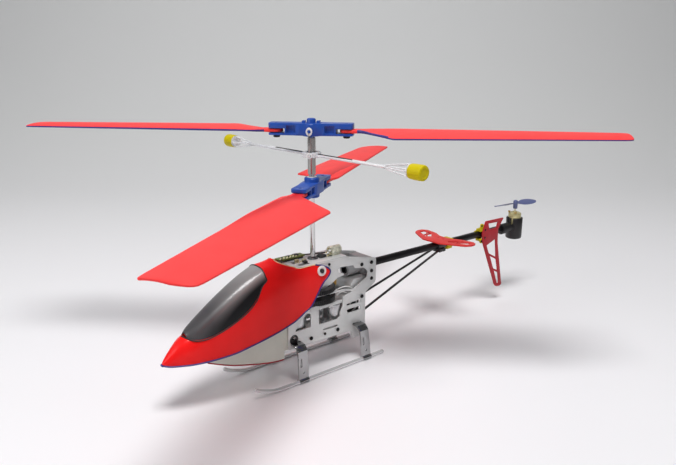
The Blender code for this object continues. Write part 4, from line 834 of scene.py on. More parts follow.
HALF_WIDTH = [(-126.0, 0.0), (-125.2, 1.5), (-123.6, 2.8), (-120.6, 4.8), (-116.0, 7.0), (-111.0, 8.8),
              (-104.0, 10.8), (-97.0, 12.4), (-90.0, 13.7), (-82.0, 14.9), (-74.0, 15.9), (-66.0, 16.6),
              (-56.0, 17.1), (8.0, 17.3)]
CREASE_Z = [(-126.0, 37.4), (-111.0, 54.1), (-108.0, 52.4), (-104.0, 51.5), (-97.0, 51.4), (-85.0, 55.2),
            (-74.0, 60.4), (-66.0, 65.0), (-59.5, 71.2), (-54.5, 79.0), (-50.0, 82.6), (-21.0, 86.4),
            (-9.0, 88.2), (8.0, 89.0)]
REAR_Y = [-14.2, -4.6, 1.2, 3.4, 2.4, -0.4, -4.2, -9.4, -22.5, -26.4, -30.2, -33.6, -36.2, -37.6, -38.1]
LOW_ROWS, HIGH_ROWS, REAR_COLUMNS = 8, 6, 5
ROWS = 2 * (LOW_ROWS + HIGH_ROWS)
# Columns and rows of the grid that bound the screen.
FIRST, LAST = STATIONS.index(SCREEN_FRONT_Y), STATIONS.index(SCREEN_REAR_Y)
LOW, HIGH = LOW_ROWS, ROWS - LOW_ROWS
POWER = [(-70.0, 2.6), (-20.0, 3.5)]
NOSE_SHIFT = [(-126.0, 1.7), (-105.0, 0.3), (-60.0, 0.0)]


def section_angle(y, z):
    """Angle parameter at which the cross-section at y reaches height z."""
    low, top = lerp_table(BOTTOM_Z, y), lerp_table(TOP_Z, y)
    if top - low < 1e-6:
        return math.pi / 2
    share = max(0.0, min(1.0, (z - low) / (top - low)))
    return math.asin(share ** (lerp_table(POWER, y) / 2))


def section_point(y, angle, inset=0.0):
    """Point of the cross-section at y for an angle from 0 (bottom edge) to 90 degrees (top)."""
    y += inset * lerp_table(NOSE_SHIFT, y)
    low, top = lerp_table(BOTTOM_Z, y), lerp_table(TOP_Z, y) - 1.15 * inset
    root = 2 / lerp_table(POWER, y)
    x = (lerp_table(HALF_WIDTH, y) - inset) * max(0.0, math.cos(angle)) ** root
    return Vector((x, y, low + (top - low) * math.sin(angle) ** root))


def half_row_point(y, row, inset):
    """Canopy surface point at station y on grid row 0 (bottom) to the centre line."""
    crease = section_angle(y, lerp_table(CREASE_Z, y))
    if row <= LOW_ROWS:
        return section_point(y, crease * row / LOW_ROWS, inset)
    share = (row - LOW_ROWS) / HIGH_ROWS
    curved = section_point(y, crease + (math.pi / 2 - crease) * share, inset)
    flat = section_point(y, crease, inset).lerp(section_point(y, math.pi / 2, inset), share)
    return curved.lerp(flat, max(0.0, min(1.0, (y - SCREEN_REAR_Y) / 9.0)) * 0.75)


def canopy_grid(inset):
    """Surface grid: columns from nose to rear edge, rows from edge to edge over the top."""
    grid = []
    for c in range(len(STATIONS) + REAR_COLUMNS):
        side = []
        for row in range(LOW_ROWS + HIGH_ROWS + 1):
            y = STATIONS[min(c, len(STATIONS) - 1)]
            if c >= len(STATIONS):
                y += (REAR_Y[row] - SCREEN_REAR_Y) * (c - len(STATIONS) + 1) / REAR_COLUMNS
            side.append(half_row_point(y, row, inset))
        grid.append(side + [Vector((-p.x, p.y, p.z)) for p in reversed(side[:-1])])
    return grid


def in_screen(column, row):
    """True for the grid cells of the windscreen."""
    return FIRST <= column < LAST and LOW <= row < HIGH


def drawn_in(grid):
    """The grid with the border of its window part moved in to leave a gap all round."""
    moved = [list(line) for line in grid]
    for r in range(LOW, HIGH + 1):
        moved[FIRST][r] = grid[FIRST][r].lerp(grid[FIRST + 1][r], 0.45)
        moved[LAST][r] = grid[LAST][r].lerp(grid[LAST - 1][r], 0.06)
    for c in range(FIRST, LAST + 1):
        moved[c][LOW] = moved[c][LOW].lerp(moved[c][LOW + 1], 0.10)
        moved[c][HIGH] = moved[c][HIGH].lerp(moved[c][HIGH - 1], 0.10)
    return moved


def sheet_patch(name, grid, keep, thickness):
    """Smooth shell over chosen grid cells: subdivided, then given its thickness inwards."""
    cells = [(c, r) for c in range(len(grid) - 1) for r in range(ROWS) if keep(c, r)]
    points, index, faces = [], {}, []

    def point(c, r):
        """Index of a grid point, adding it the first time."""
        if (c, r) not in index:
            index[(c, r)] = len(points)
            points.append(grid[c][r])
        return index[(c, r)]

    for c, r in cells:
        faces.append([point(c, r), point(c, r + 1), point(c + 1, r + 1), point(c + 1, r)])
    mesh = bpy.data.meshes.new(name)
    mesh.from_pydata(points, [], faces)
    bm = bmesh.new()
    bm.from_mesh(mesh)
    layer = bm.edges.layers.float.new("crease_edge")
    bm.verts.ensure_lookup_table()
    marked = {frozenset((index[a], index[b])): w for a, b, w in crease_lines() if a in index and b in index}
    for edge in bm.edges:
        edge[layer] = marked.get(frozenset(v.index for v in edge.verts), 0.0)
    nose = [v for v in bm.verts if abs(v.co.y - NOSE_Y) < 1e-3]
    if len(nose) > 2:
        bmesh.ops.pointmerge(bm, verts=nose, merge_co=nose[0].co)
    bmesh.ops.recalc_face_normals(bm, faces=bm.faces)
    outward = sum(f.normal.dot(f.calc_center_median() - Vector((0.0, -50.0, 55.0))) for f in bm.faces)
    if outward < 0:
        bmesh.ops.reverse_faces(bm, faces=bm.faces)
    bm.to_mesh(mesh)
    bm.free()
    obj = bpy.data.objects.new(name, mesh)
    bpy.context.scene.collection.objects.link(obj)
    smooth = obj.modifiers.new("smooth", "SUBSURF")
    smooth.levels = smooth.render_levels = 2
    smooth.boundary_smooth = "PRESERVE_CORNERS"
    evaluated(obj)
    solid = obj.modifiers.new("thickness", "SOLIDIFY")
    solid.thickness = thickness
    solid.offset = -1.0
    return evaluated(obj)


def crease_lines():
    """Grid edges that stay crisp: the hood behind the screen and the screen's own border."""
    lines = [((LAST, r), (LAST, r + 1), 0.8) for r in range(LOW, HIGH)]
    for r in (LOW, HIGH):
        lines += [((c, r), (c + 1, r), 0.5) for c in range(FIRST, LAST)]
        lines += [((c, r), (c + 1, r), 0.9) for c in range(LAST, len(STATIONS) + REAR_COLUMNS - 1)]
    return lines


def canopy():
    """Red shell, smoked windscreen with its seal, navy trim along the edges and a pale painted highlight line
    along the rear edge.
    """
    grid = canopy_grid(0.0)
    body = sheet_patch("canopy_shell", grid, lambda c, r: not in_screen(c, r), 0.85)
    cut(body, cross_rod("ear_hole", 3.05, -30.0, 30.0, POST_YZ, 64))
    finish_piece(body, "canopy_red", "canopy", smooth=28.0)
    glass = sheet_patch("windscreen_pane", drawn_in(canopy_grid(0.05)), in_screen, 0.8)
    finish_piece(glass, "screen_smoke", "windscreen", smooth=35.0)
    loop = [grid[c][LOW] for c in range(FIRST, LAST + 1)] + [grid[LAST][r] for r in range(LOW + 1, HIGH)] + \
        [grid[c][HIGH] for c in range(LAST, FIRST, -1)]
    seal = tube("windscreen_seal", [p - Vector((p.x, 0.0, 0.0)) * 0.012 for p in spline(loop, 4)], 0.42, 10)
    finish_piece(seal, "holder_black")
    trims, pale = [], []
    for side in (1, -1):
        half = [line if side > 0 else line[::-1] for line in grid]
        edge = spline([line[0] for line in half[1:]] + half[-1][1:LOW], 5)
        trims.append(tube("canopy_trim", [p + Vector((side * 0.10, 0.0, 0.1)) for p in edge], 0.56, 10))
        # Pale tube along the rear edge: a painted highlight where the edge catches the light.
        rear = spline(half[-1][5:LOW_ROWS + HIGH_ROWS], 4)
        pale.append(tube("canopy_edge_highlight", [p + Vector((side * 0.1, 0.1, 0.15)) for p in rear], 0.34, 8))
    nose = spline([grid[1][0], grid[0][0] + Vector((0.0, 0.2, -0.2)), grid[1][-1]], 6)
    trims.append(tube("nose_trim", nose, 0.8, 10))
    finish_piece(merge(*trims), "edge_navy")
    finish_piece(merge(*pale), "edge_highlight_cream")


def surface_x(y, z):
    """Half-width of the canopy at a station and height below the crease."""
    return section_point(y, section_angle(y, z)).x


def canopy_fixings():
    """Posts on the side plates and the rubber grommets in the canopy ears."""
    y, z = POST_YZ
    skin = surface_x(y, z) - 0.45
    normal = Vector((1.0, -(surface_x(y + 2.0, z) - surface_x(y - 2.0, z)) / 4.0,
                     -(surface_x(y, z + 2.0) - surface_x(y, z - 2.0)) / 4.0))
    end = skin + 2.4
    tilt = Vector((0.0, 0.0, 1.0)).rotation_difference(normal).to_matrix().to_4x4()
    start = PLATE_OUT + 0.05
    for side, sign in SIDES:
        profile = [(0.0, 0.0), (1.2, 0.0), (1.2, end - start - 1.0), (1.55, end - start - 0.8),
                   (1.55, end - start - 0.3), (1.25, end - start), (0.0, end - start + 0.1)]
        post = revolve("canopy_post_peg_" + side, profile, sides=36)
        move(turn(post, 90.0 * sign, "Y"), sign * start, y, z)
        finish_piece(post, "holder_black", "canopy_post_" + side)
        profile = [(1.7, -1.7), (3.6, -1.7), (3.9, -1.4), (3.9, -1.1), (2.8, -0.95), (2.8, 0.95), (3.9, 1.05),
                   (3.9, 1.2), (3.6, 1.5), (2.2, 1.5), (1.7, 1.1)]
        ring = revolve("canopy_grommet_ring_" + side, profile, sides=56)
        ring.data.transform(Matrix.Translation((skin, y, z)) @ tilt)
        if sign < 0:
            ring.data.transform(Matrix.Scale(-1.0, 4, (1.0, 0.0, 0.0)))
            ring.data.flip_normals()
        finish_piece(ring, "grommet_white", "canopy_grommet_" + side)


# ---------------------------------------------------------------- pan and electronics

PAN_STATIONS = [  # y, half width, bottom z, top z
    (-106.0, 4.0, 35.4, 38.2), (-96.0, 7.4, 31.6, 39.0), (-80.0, 9.4, 25.6, 40.0), (-62.0, 10.6, 21.0, 41.5),
    (-46.0, 11.1, 17.8, 43.0), (-35.5, 11.2, 16.9, 44.0)]


def pan_loft(name, inset, top_lift, rear_y):
    """Loft of the battery pan section; inset shrinks it for the hollow."""
    sections = []
    table = spline([(row[0], row[1], row[2]) for row in PAN_STATIONS], 4)
    for i, (y, width, low) in enumerate(table):
        top = lerp_table([(row[0], row[3]) for row in PAN_STATIONS], y)
        w, z0, z1 = width - inset, low + inset, top + top_lift
        if i == 0:
            y += inset
            z0 = min(z0, top - 0.6)
        if i == len(table) - 1:
            y = rear_y
        corner = [(w - 0.30 * w * (1 - math.cos(math.radians(a))), z0 + 2.6 * (1 - math.sin(math.radians(a))))
                  for a in (0, 22, 45, 68, 90)]
        side = [(w, z1), (w, (z1 + z0 + 2.6) / 2)] + corner
        sections.append([(x, y, z) for x, z in side] + [(-x, y, z) for x, z in reversed(side)])
    return rings(name, sections)


def belly_pan():
    """Open pan under the nose with its ears and dark red edge line."""
    rear = PAN_STATIONS[-1][0]
    pan = pan_loft("belly_pan_moulded", 0.0, 0.0, rear)
    join(pan, *[box("ear", sorted((s * 9.7, s * 11.2)), (-36.5, -30.8), (24.8, 43.6)) for s in (-1, 1)])
    cut(pan, pan_loft("hollow", 1.2, 8.0, rear - 1.2))
    bevel(pan, 0.2, 50.0)
    finish_piece(pan, "pan_cream", "belly_pan", smooth=40.0)
    lines = [tube("pan_line", spline([(s * (w * 0.93), y, z + 0.75) for y, w, z, top in PAN_STATIONS[1:]], 4),
                  0.55, 10) for s in (-1, 1)]
    finish_piece(merge(*lines), "fin_red")


def battery_and_switch():
    """Wrapped pack in the pan with two bands, and the slide switch on the pan's side."""
    pack = bevel(box("battery_pack", (-7.4, 7.4), (-84.0, -38.0), (28.6, 41.0)), 1.6, segments=5)
    finish_piece(pack, "battery_wrap", "battery")
    bands = [bevel(box("battery_bands", (-7.7, 7.7), (y - 1.5, y + 1.5), (28.3, 41.3)), 1.7, segments=4)
             for y in (-76.0, -46.0)]
    finish_piece(merge(*bands), "chip_black")
    body = box("power_switch_case", (-14.2, -11.3), (-52.0, -42.0), (28.0, 34.4))
    cut(body, box("slot", (-15.0, -12.5), (-50.6, -43.4), (29.9, 32.5)))
    finish_piece(bevel(body, 0.3), "holder_black", "power_switch")
    knob = box("switch_knob_cap", (-15.4, -12.6), (-50.4, -47.6), (30.0, 32.4))
    cut(knob, *[box("groove", (-15.6, -15.1), (y, y + 0.35), (29.0, 33.0)) for y in (-50.0, -49.2, -48.4)])
    finish_piece(bevel(knob, 0.15), "holder_black", "switch_knob", body="switch_knob")


def receiver():
    """Board with its pad, chips and solder points, and loose parts on the deck before the mast."""
    board = bevel(box("receiver_board_pcb", (-10.9, -4.4), (-27.0, -4.0), (87.6, 88.7)), 0.12)
    finish_piece(board, "board_green", "receiver_board")
    pad = bevel(box("receiver_pad", (-10.4, -5.2), (-21.0, -5.0), (86.02, 87.6)), 0.3)
    finish_piece(pad, "chip_black")
    chips = []
    for x0, x1, y0, y1, z0, z1 in ((-9.8, -6.4, -12.0, -8.2, 88.6, 89.4),
                                   (-9.6, -7.2, -18.0, -15.4, 88.6, 89.3),
                                   (3.6, 6.6, -12.6, -9.6, 86.0, 87.6)):
        chips.append(bevel(box("receiver_chips", (x0, x1), (y0, y1), (z0, z1)), 0.2))
        for k in range(int((y1 - y0) / 1.2)):
            y = y0 + 0.7 + 1.2 * k
            chips.append(box("lead", (x1 - 0.1, x1 + 0.7), (y - 0.2, y + 0.2), (z0, z0 + 0.3)))
    finish_piece(merge(*chips), "chip_black")
    dots = []
    for i in range(22):
        x, y, z = -5.2 - 1.1 * (i % 3), -25.8 + 0.95 * i, 88.6
        if i >= 16:
            x, y, z = 0.4 + 1.3 * (i % 3), -17.0 + 1.5 * (i - 16), 86.0
        profile = [(0.0, z), (0.75, z), (0.6, z + 0.4), (0.3, z + 0.8), (0.0, z + 0.9)]
        dots.append(revolve("receiver_solder", profile, (x, y), 12))
    for x0, y0 in ((-1.6, -16.4), (1.2, -11.6)):
        dots.append(bevel(box("can", (x0, x0 + 2.4), (y0, y0 + 3.4), (86.0, 88.0)), 0.5, segments=3))
    finish_piece(merge(*dots), "solder")


def crystal():
    """Rounded metal can on its foot with solder terminals at its front, and a dark wedge on the deck."""
    outline = [(2.6 + 3.3 * math.cos(a), 89.5 + 3.3 * math.sin(a) + (0.5 if math.sin(a) > 0 else 0.0))
               for a in (math.radians(4.5 + 9 * i) for i in range(40))]
    can = prism("crystal_can_drawn", outline, 13.8, 23.6, "xz")
    join(can, box("foot", (-0.2, 5.0), (14.5, 23.0), (86.02, 88.0)))
    bevel(can, 0.5, 50.0, 3)
    finish_piece(can, "can_pale", "crystal_can")
    brass, pale = [], []
    spots = [(0.6, 13.2, 90.6), (2.4, 12.8, 91.6), (4.2, 13.0, 90.4), (1.2, 12.4, 88.4), (3.4, 12.2, 88.6),
             (5.0, 12.8, 88.0), (2.2, 11.2, 87.4), (4.4, 10.8, 87.2)]
    for i, (x, y, z) in enumerate(spots):
        profile = [(0.0, z - 0.9), (0.8, z - 0.6), (1.0, z), (0.75, z + 0.6), (0.0, z + 0.9)]
        (brass if i % 2 else pale).append(revolve("crystal_terminals", profile, (x, y), 14))
        brass.append(tube("lead", [(x, y, z), (x + 0.3, y + 0.9, z - 0.1), (x + 0.2, y + 1.8, z)], 0.3, 8))
    finish_piece(merge(*brass), "solder")
    beads = merge(*pale)
    beads.name = "crystal_beads"
    finish_piece(beads, "wire_white")
    outline = [(4.0, 86.05), (9.6, 86.05), (9.6, 88.0), (8.4, 88.5), (5.0, 87.4)]
    finish_piece(bevel(prism("deck_wedge", outline, -1.6, 4.4), 0.25), "chip_black")


def wires():
    """Leads inside the frame and over the deck, each ending in its motor or the board."""
    runs = [[(8.8, 8.5, 46.5), (9.9, 14.0, 55.0), (10.3, 21.0, 57.4), (10.3, 27.5, 52.0), (9.4, 29.0, 44.5),
             (6.0, 26.5, 37.0)],
            [(8.4, 12.0, 58.5), (10.2, 22.0, 61.0), (9.9, 30.0, 58.0), (9.9, 34.0, 50.0), (8.4, 36.0, 40.0),
             (3.0, 30.0, 34.0)]]
    white = [tube("motor_leads", spline(run, 8), 0.55, 10) for run in runs]
    finish_piece(merge(*white), "wire_white")
    over = [[(-6.0, -4.6, 88.4), (-7.0, 2.0, 87.2), (-6.0, 10.0, 86.7), (-3.0, 18.0, 86.7),
             (0.0, 23.4, 86.3), (0.6, 25.4, 83.0), (0.6, 27.0, 76.0)],
            [(-6.4, -24.0, 90.0), (-2.0, -27.5, 88.6), (2.0, -31.0, 82.0), (2.6, -34.0, 68.0),
             (1.0, -40.0, 45.0)]]
    dark = [tube("deck_leads", spline(run, 8), 0.5, 10) for run in over]
    finish_piece(merge(*dark), "chip_black")


# ---------------------------------------------------------------- boom and tail

FIN_OUTLINE = [(198.9, 83.2), (225.5, 82.7), (218.0, 72.8), (218.4, 59.5), (228.3, 15.4), (226.2, 13.9),
               (220.0, 14.6), (217.4, 17.3), (195.8, 63.6), (195.0, 72.9)]
FIN_WINDOWS = [[(202.8, 80.4), (217.2, 79.8), (215.4, 74.3), (204.9, 74.3)],
               [(201.9, 59.4), (214.8, 63.6), (217.4, 44.9), (205.8, 51.0)],
               [(207.9, 47.8), (218.0, 42.6), (221.0, 31.0), (213.9, 34.4)],
               [(215.2, 31.8), (221.8, 28.4), (224.4, 17.2), (221.4, 17.2)]]


def boom():
    """Boom tube, its end ring, struts with their clip, and the ribbed stabilizer on its saddle."""
    tube_out = round_boom("tail_boom_tube", BOOM_R, 30.5, 240.0, 64)
    cut(tube_out, round_boom("bore", BOOM_R - 0.8, 29.0, 242.0, 64))
    finish_piece(bevel(tube_out, 0.15), "boom_black", "tail_boom")
    ring = revolve("boom_end_ring", [(BOOM_R + 0.02, 52.0), (4.3, 52.0), (4.7, 52.4), (4.7, 55.6),
                                     (4.3, 56.0), (BOOM_R + 0.02, 56.0)])
    move(turn(ring, -90.0, "X"), 0.0, 0.0, BOOM_Z)
    finish_piece(ring, "mount_grey")
    for side, sign in SIDES:
        path = spline([(sign * 10.1, 36.0, 37.0), (sign * 10.1, 44.6, 37.6), (sign * 9.2, 54.0, 40.3),
                       (sign * 3.4, 136.6, 66.3)], 8)
        finish_piece(tube("strut_" + side + "_rod", path, 1.0, 18), "strut_dark", "strut_" + side)
    band = round_boom("strut_clip_moulded", 4.1, 137.0, 146.0)
    join(band, box("lug", (-4.5, 4.5), (136.9, 145.0), (64.8, 67.6)))
    cut(band, round_boom("hole", BOOM_R + 0.05, 130.0, 150.0),
        box("groove", (-6.0, 6.0), (140.6, 141.6), (64.0, 65.5)))
    finish_piece(bevel(band, 0.3), "strut_dark", "strut_clip")
    half = [(0.0, 129.9), (9.5, 129.9), (17.5, 134.2), (29.5, 141.0), (32.4, 146.5), (31.6, 152.6),
            (27.0, 155.3), (14.5, 153.2), (6.5, 148.8), (0.0, 148.2)]
    plate = prism("stabilizer_plate", rounded(half + [(-x, y) for x, y in reversed(half) if x > 0], 1.6),
                  74.75, 75.95, "xy")
    slots = []
    for s in (-1, 1):
        slot = [(s * 9.6, 141.4), (s * 13.0, 137.4), (s * 28.4, 145.6), (s * 27.4, 151.4), (s * 17.0, 149.4)]
        slots.append(prism("slot", rounded(slot, 0.9), 70.0, 80.0, "xy"))
        slots.append(cylinder("hole", 0.9, 70.0, 80.0, centre=(s * 3.0, 143.0), sides=20))
    cut(plate, *slots)
    finish_piece(bevel(plate, 0.3, 35.0, 3), "plate_coral", "stabilizer")
    ribs = [prism("stabilizer_ribs", rounded([(s * x, y) for x, y in rib], 0.3), 74.85, 75.85, "xy")
            for s in (-1, 1) for rib in ([(12.0, 139.0), (13.2, 138.2), (24.6, 150.6), (23.2, 151.0)],
                                         [(17.0, 150.0), (17.8, 140.4), (18.9, 141.0), (18.2, 150.2)])]
    finish_piece(merge(*ribs), "plate_coral")
    outline = [(-4.5, 74.7), (-4.5, 69.4), (-2.9, 65.2), (2.9, 65.2), (4.5, 69.4), (4.5, 74.7)]
    saddle = prism("stabilizer_clamp_moulded", rounded(outline, 0.6), 148.5, 155.0, "xz")
    cut(saddle, round_boom("hole", BOOM_R + 0.05, 147.0, 156.0))
    finish_piece(bevel(saddle, 0.35), "trim_yellow", "stabilizer_clamp")


def tail():
    """Fin with its clamp and rivets, and the tail motor in its cup."""
    plate = prism("tail_fin_plate", rounded(FIN_OUTLINE, 1.2), 4.2, 5.3)
    cut(plate, *[prism("window", rounded(w, 0.9), 0.0, 9.0) for w in FIN_WINDOWS])
    finish_piece(bevel(plate, 0.3, 35.0, 3), "fin_red", "tail_fin")
    outline = [(192.4, 77.0), (193.4, 81.2), (196.0, 81.2), (201.5, 76.5), (201.5, 66.0), (196.4, 62.4),
               (193.6, 62.8), (192.4, 66.0)]
    cheek = prism("fin_clamp_moulded", rounded(outline, 0.9), 3.3, 4.15)
    join(cheek, round_boom("ring", 4.15, 193.0, 199.0),
         box("arm", (-1.0, 3.6), (193.0, 198.0), (74.4, 76.2)),
         box("arm", (-1.0, 3.6), (193.0, 198.0), (64.6, 66.4)))
    cut(cheek, round_boom("hole", BOOM_R + 0.05, 180.0, 210.0),
        box("gap", (0.2, 6.0), (187.0, 198.0), (66.9, 73.9)))
    finish_piece(bevel(cheek, 0.25), "trim_yellow", "fin_clamp")
    rivets = []
    for y, z in ((194.6, 79.2), (194.8, 64.6), (198.6, 75.0), (198.6, 67.6)):
        head = revolve("fin_rivets", [(0.0, 0.0), (1.0, 0.0), (1.0, 0.25), (0.6, 0.6), (0.0, 0.7)], sides=20)
        offset = 5.3 if y > 195.0 else 4.15
        rivets.append(move(turn(head, 90.0, "Y"), offset, y, z))
    finish_piece(merge(*rivets), "screw_black")
    profile = [(0.0, 57.4), (6.2, 57.4), (7.2, 57.9), (7.7, 58.9), (7.9, 77.8), (7.6, 78.2), (6.4, 78.2),
               (6.15, 78.0), (6.15, 60.0), (0.0, 60.0)]
    cup = revolve("tail_motor_holder_moulded", profile, (0.0, TAIL_Y), 64)
    join(cup, cylinder("socket", 4.9, 228.5, 243.2, centre=(0.0, BOOM_Z - 1.0), plane="xz", sides=48))
    cut(cup, round_boom("boom_hole", BOOM_R + 0.05, 225.0, 240.2),
        cylinder("motor_hole", 6.15, 60.0, 80.0, centre=(0.0, TAIL_Y), sides=64),
        box("slot", (1.0, 3.4), (TAIL_Y - 9.0, TAIL_Y - 4.0), (70.0, 79.0)),
        box("slot", (-0.8, 0.8), (TAIL_Y + 5.0, TAIL_Y + 9.0), (66.0, 78.0)))
    finish_piece(bevel(cup, 0.3), "holder_black", "tail_motor_holder")
    profile = [(0.0, 60.1), (6.0, 60.1), (6.1, 60.3), (6.1, 79.2), (5.95, 79.35), (5.95, 79.65), (6.1, 79.8),
               (6.1, 81.6), (5.8, 82.7), (5.0, 83.2), (2.2, 83.2), (2.0, 83.4), (2.0, 84.3), (1.8, 84.5),
               (0.5, 84.5), (0.5, 93.0), (0.0, 93.0)]
    lathe("tail_motor", profile, "tail_motor_cream", centre=(0.0, TAIL_Y))
    depth = (TAIL_Y - 5.0, TAIL_Y - 3.2)
    tabs = [bevel(box("tail_motor_tabs", sorted((s * 2.9, s * 4.5)), depth, (83.1, 84.9)), 0.25)
            for s in (-1, 1)]
    finish_piece(merge(*tabs), "pinion_brass")
    clip = box("tail_motor_clip", (-2.6, -1.2), (TAIL_Y - 8.6, TAIL_Y - 6.4), (74.0, 79.4))
    finish_piece(bevel(clip, 0.3), "holder_black")


def propeller():
    """Two-bladed tail propeller with domed hub."""
    hub = revolve("tail_rotor_moulded", [(0.0, 87.0), (1.9, 87.0), (2.1, 87.3), (2.2, 93.6), (2.0, 94.6),
                                         (1.4, 95.3), (0.0, 95.5)], sides=40)
    plan = [(1.2, 1.2, 8.0), (2.4, 1.3, 12.0), (3.5, 1.6, 17.0), (5.0, 2.3, 22.0), (7.0, 3.0, 26.0),
            (9.0, 3.7, 27.0), (11.0, 4.1, 26.0), (13.5, 4.4, 24.5), (16.0, 4.5, 23.0), (18.5, 4.45, 22.0),
            (21.0, 4.1, 20.0), (23.0, 3.6, 18.0), (24.5, 3.0, 16.0), (25.6, 2.1, 15.0), (26.4, 1.0, 14.0)]
    blades_made = []
    for flip in (0.0, 180.0):
        sections = []
        for r, half, pitch in plan:
            a = math.radians(pitch)
            outline = [(half * s, 0.5 * t + 0.12 * s ** 2) for s, t in circle(1.0, sides=20)]
            sections.append([(r, s * math.cos(a) - t * math.sin(a), 92.0 + s * math.sin(a) + t * math.cos(a))
                             for s, t in outline])
        blades_made.append(turn(rings("prop_blade", sections), flip + 79.8))
    join(hub, *blades_made)
    cut(hub, cylinder("bore", 0.56, 85.0, 93.4, sides=24))
    move(hub, 0.0, TAIL_Y, 0.0)
    finish_piece(hub, "propeller_blue", "tail_rotor", body="tail_rotor", smooth=50.0)


# ---------------------------------------------------------------- landing gear

LEG_HALF = [(0.0, 28.15), (15.4, 28.15), (17.9, 27.4), (19.6, 25.6), (20.5, 22.6), (21.25, 3.2)]
SKID_LINE = [(55.1, 0.0), (30.0, 0.0), (0.0, 0.0), (-30.0, 0.0), (-44.0, 0.0), (-48.5, 0.2), (-53.0, 0.9),
             (-58.0, 2.4), (-63.0, 4.2), (-68.6, 6.9)]  # y, lift


def landing_gear():
    """Chrome skids and the bent straps that carry them."""
    for side, sign in SIDES:
        path = spline([(sign * SKID_X, y, SKID_R + lift) for y, lift in SKID_LINE], 6)
        # Skids in the lighter chrome: a painted bright reflection.
        finish_piece(tube("skid_" + side + "_tube", path, SKID_R, 32), "chrome_bright", "skid_" + side)
    for name, lean in (("leg_front", 0.0), ("leg_rear", 2.2)):
        y = LEG_Y[name]
        centre = spline([(x, 0.0, z) for x, z in reversed(LEG_HALF)][:-1] + [(0.0, 0.0, 28.15)] +
                        [(-x, 0.0, z) for x, z in LEG_HALF[1:]], 7)
        outer, inner = [], []
        for i, p in enumerate(centre):
            ahead = (centre[min(i + 1, len(centre) - 1)] - centre[max(i - 1, 0)]).normalized()
            side = Vector((-ahead.z, 0.0, ahead.x)) * 0.64
            outer.append((p.x + side.x, p.z + side.z))
            inner.append((p.x - side.x, p.z - side.z))
        width = (y - LEG_WIDTH / 2, y + LEG_WIDTH / 2)
        strap = prism(name + "_strap", outer + inner[::-1], *width, "xz")
        saddles, holes = [], []
        for s in (-1, 1):
            shape = circle(2.4, (s * SKID_X, SKID_R), 60)[:31]
            saddles.append(prism("saddle", shape, *width, "xz"))
            holes.append(cylinder("skid_hole", SKID_R + 0.04, y - 9.0, y + 9.0, (s * SKID_X, SKID_R), "xz"))
        join(strap, *saddles)
        slot = rounded([(y - 2.9, 13.0), (y - 1.1, 13.0), (y - 1.1, 19.5), (y - 2.9, 19.5)], 0.9)
        cut(strap, *holes, prism("slot", slot, -26.0, 26.0),
            cross_rod("hole", 0.9, -26.0, 26.0, (y, 8.2), 24))
        bevel(strap, 0.22)
        for vertex in strap.data.vertices:
            vertex.co.y += lean * max(0.0, 26.0 - vertex.co.z) / 24.0
        # Straps in the darker chrome: a painted reflection of the shaded floor.
        finish_piece(strap, "chrome_strap_painted_dark", name)


# ---------------------------------------------------------------- studio

FLOOR_Z = CAD_BOX[0][2]


def stage_material():
    """Matte paper with a fine grain, a touch cooler far behind the object."""
    mat = bpy.data.materials.new("studio_paper")
    mat.use_nodes = True
    where = shader(mat, "TexCoord", {}).outputs["Object"]
    grain = shader(mat, "TexNoise", {"Vector": where, "Scale": 300.0})
    split = shader(mat, "SeparateXYZ", {"Vector": where})
    tone = shader(mat, "ValToRGB", {"Fac": share_between(mat, split.outputs["Y"], 0.25, 0.95)})
    near, far = tone.color_ramp.elements
    near.color, far.color = (0.88, 0.87, 0.89, 1.0), (0.87, 0.875, 0.875, 1.0)
    dents = shader(mat, "Bump", {"Height": grain.outputs["Fac"], "Strength": 0.02, "Distance": 0.0005})
    feed(mat.node_tree.nodes["Principled BSDF"], {
        "Base Color": tone.outputs["Color"], "Roughness": 0.5, "Normal": dents.outputs["Normal"],
        "Specular IOR Level": 0.25})
    return mat


CAMERA_AZ, CAMERA_EL = math.radians(50.30), math.radians(15.24)
CAMERA_MM = (388.5, -297.8, 239.3)
LENS_MM = 36.255
SWEEP_HALF, SWEEP_CURVE_START, SWEEP_CURVE_R = 5.0, 0.62, 0.9
LAMPS = [  # name, place before it is turned to the camera's heading, size, watts
    ("key", (0.08, -0.50, 1.35), 0.6, 16.4), ("back", (-0.2, 0.9, 1.5), 1.4, 3.2),
    ("side", (-1.1, -0.5, 0.65), 0.7, 5.0)]


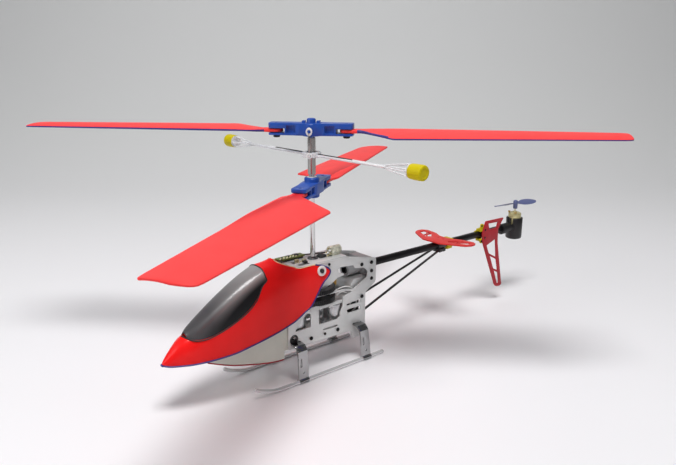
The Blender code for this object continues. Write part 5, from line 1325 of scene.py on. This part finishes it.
def studio():
    """Floor, backdrop curve, lights and camera."""
    scene = bpy.context.scene
    paper = stage_material()
    heading = Matrix.Rotation(CAMERA_AZ, 4, "Z")
    curve = [(SWEEP_CURVE_START + SWEEP_CURVE_R * math.sin(a), SWEEP_CURVE_R - SWEEP_CURVE_R * math.cos(a))
             for a in (math.radians(6 * i) for i in range(16))]
    profile = [(-SWEEP_HALF, 0.0), (-1.6, 0.0)] + curve + [(SWEEP_CURVE_START + SWEEP_CURVE_R, 2.6)]
    points, faces = [], []
    for y, z in profile:
        points += [(-SWEEP_HALF, y, z), (SWEEP_HALF, y, z)]
    for i in range(len(profile) - 1):
        faces.append([2 * i, 2 * i + 1, 2 * i + 3, 2 * i + 2])
    mesh = bpy.data.meshes.new("studio_sweep")
    mesh.from_pydata(points, [], faces)
    sweep = bpy.data.objects.new("studio_sweep", mesh)
    scene.collection.objects.link(sweep)
    sweep.matrix_world = Matrix.Translation((0.0, 0.0, FLOOR_Z)) @ heading
    mesh.polygons.foreach_set("use_smooth", [True] * len(mesh.polygons))
    mesh.materials.append(paper)
    world = bpy.data.worlds.new("soft_studio")
    world.use_nodes = True
    feed(world.node_tree.nodes["Background"], {"Color": (0.97, 0.98, 1.0, 1.0), "Strength": 0.105})
    scene.world = world
    for name, place, size, power in LAMPS:
        lamp = bpy.data.lights.new(name, "AREA")
        lamp.shape = "RECTANGLE"
        lamp.size = size
        lamp.size_y = size * 0.7
        lamp.energy = power
        light = bpy.data.objects.new(name, lamp)
        scene.collection.objects.link(light)
        spot = heading @ Vector(place)
        light.location = spot
        light.rotation_euler = (Vector((0.0, 0.0, 0.05)) - spot).to_track_quat("-Z", "Y").to_euler()
    camera_data = bpy.data.cameras.new("camera")
    camera_data.lens = LENS_MM
    camera_data.sensor_width = 36.0
    camera_data.clip_start = 0.01
    camera = bpy.data.objects.new("camera", camera_data)
    scene.collection.objects.link(camera)
    camera.location = (CAMERA_MM[0] * MM, CAMERA_MM[1] * MM + MAST_Y, CAMERA_MM[2] * MM)
    ahead = Vector((-math.sin(CAMERA_AZ) * math.cos(CAMERA_EL), math.cos(CAMERA_AZ) * math.cos(CAMERA_EL),
                    -math.sin(CAMERA_EL)))
    camera.rotation_euler = ahead.to_track_quat("-Z", "Y").to_euler()
    scene.camera = camera
    scene.view_settings.view_transform = "Standard"


for plate_side, plate_sign in SIDES:
    side_plate("frame_side_" + plate_side, plate_sign)
frame_inside()
frame_screws()
decks()
drive()
heads()
blades()
flybar()
links()
canopy()
canopy_fixings()
belly_pan()
battery_and_switch()
receiver()
crystal()
wires()
boom()
tail()
propeller()
landing_gear()
studio()
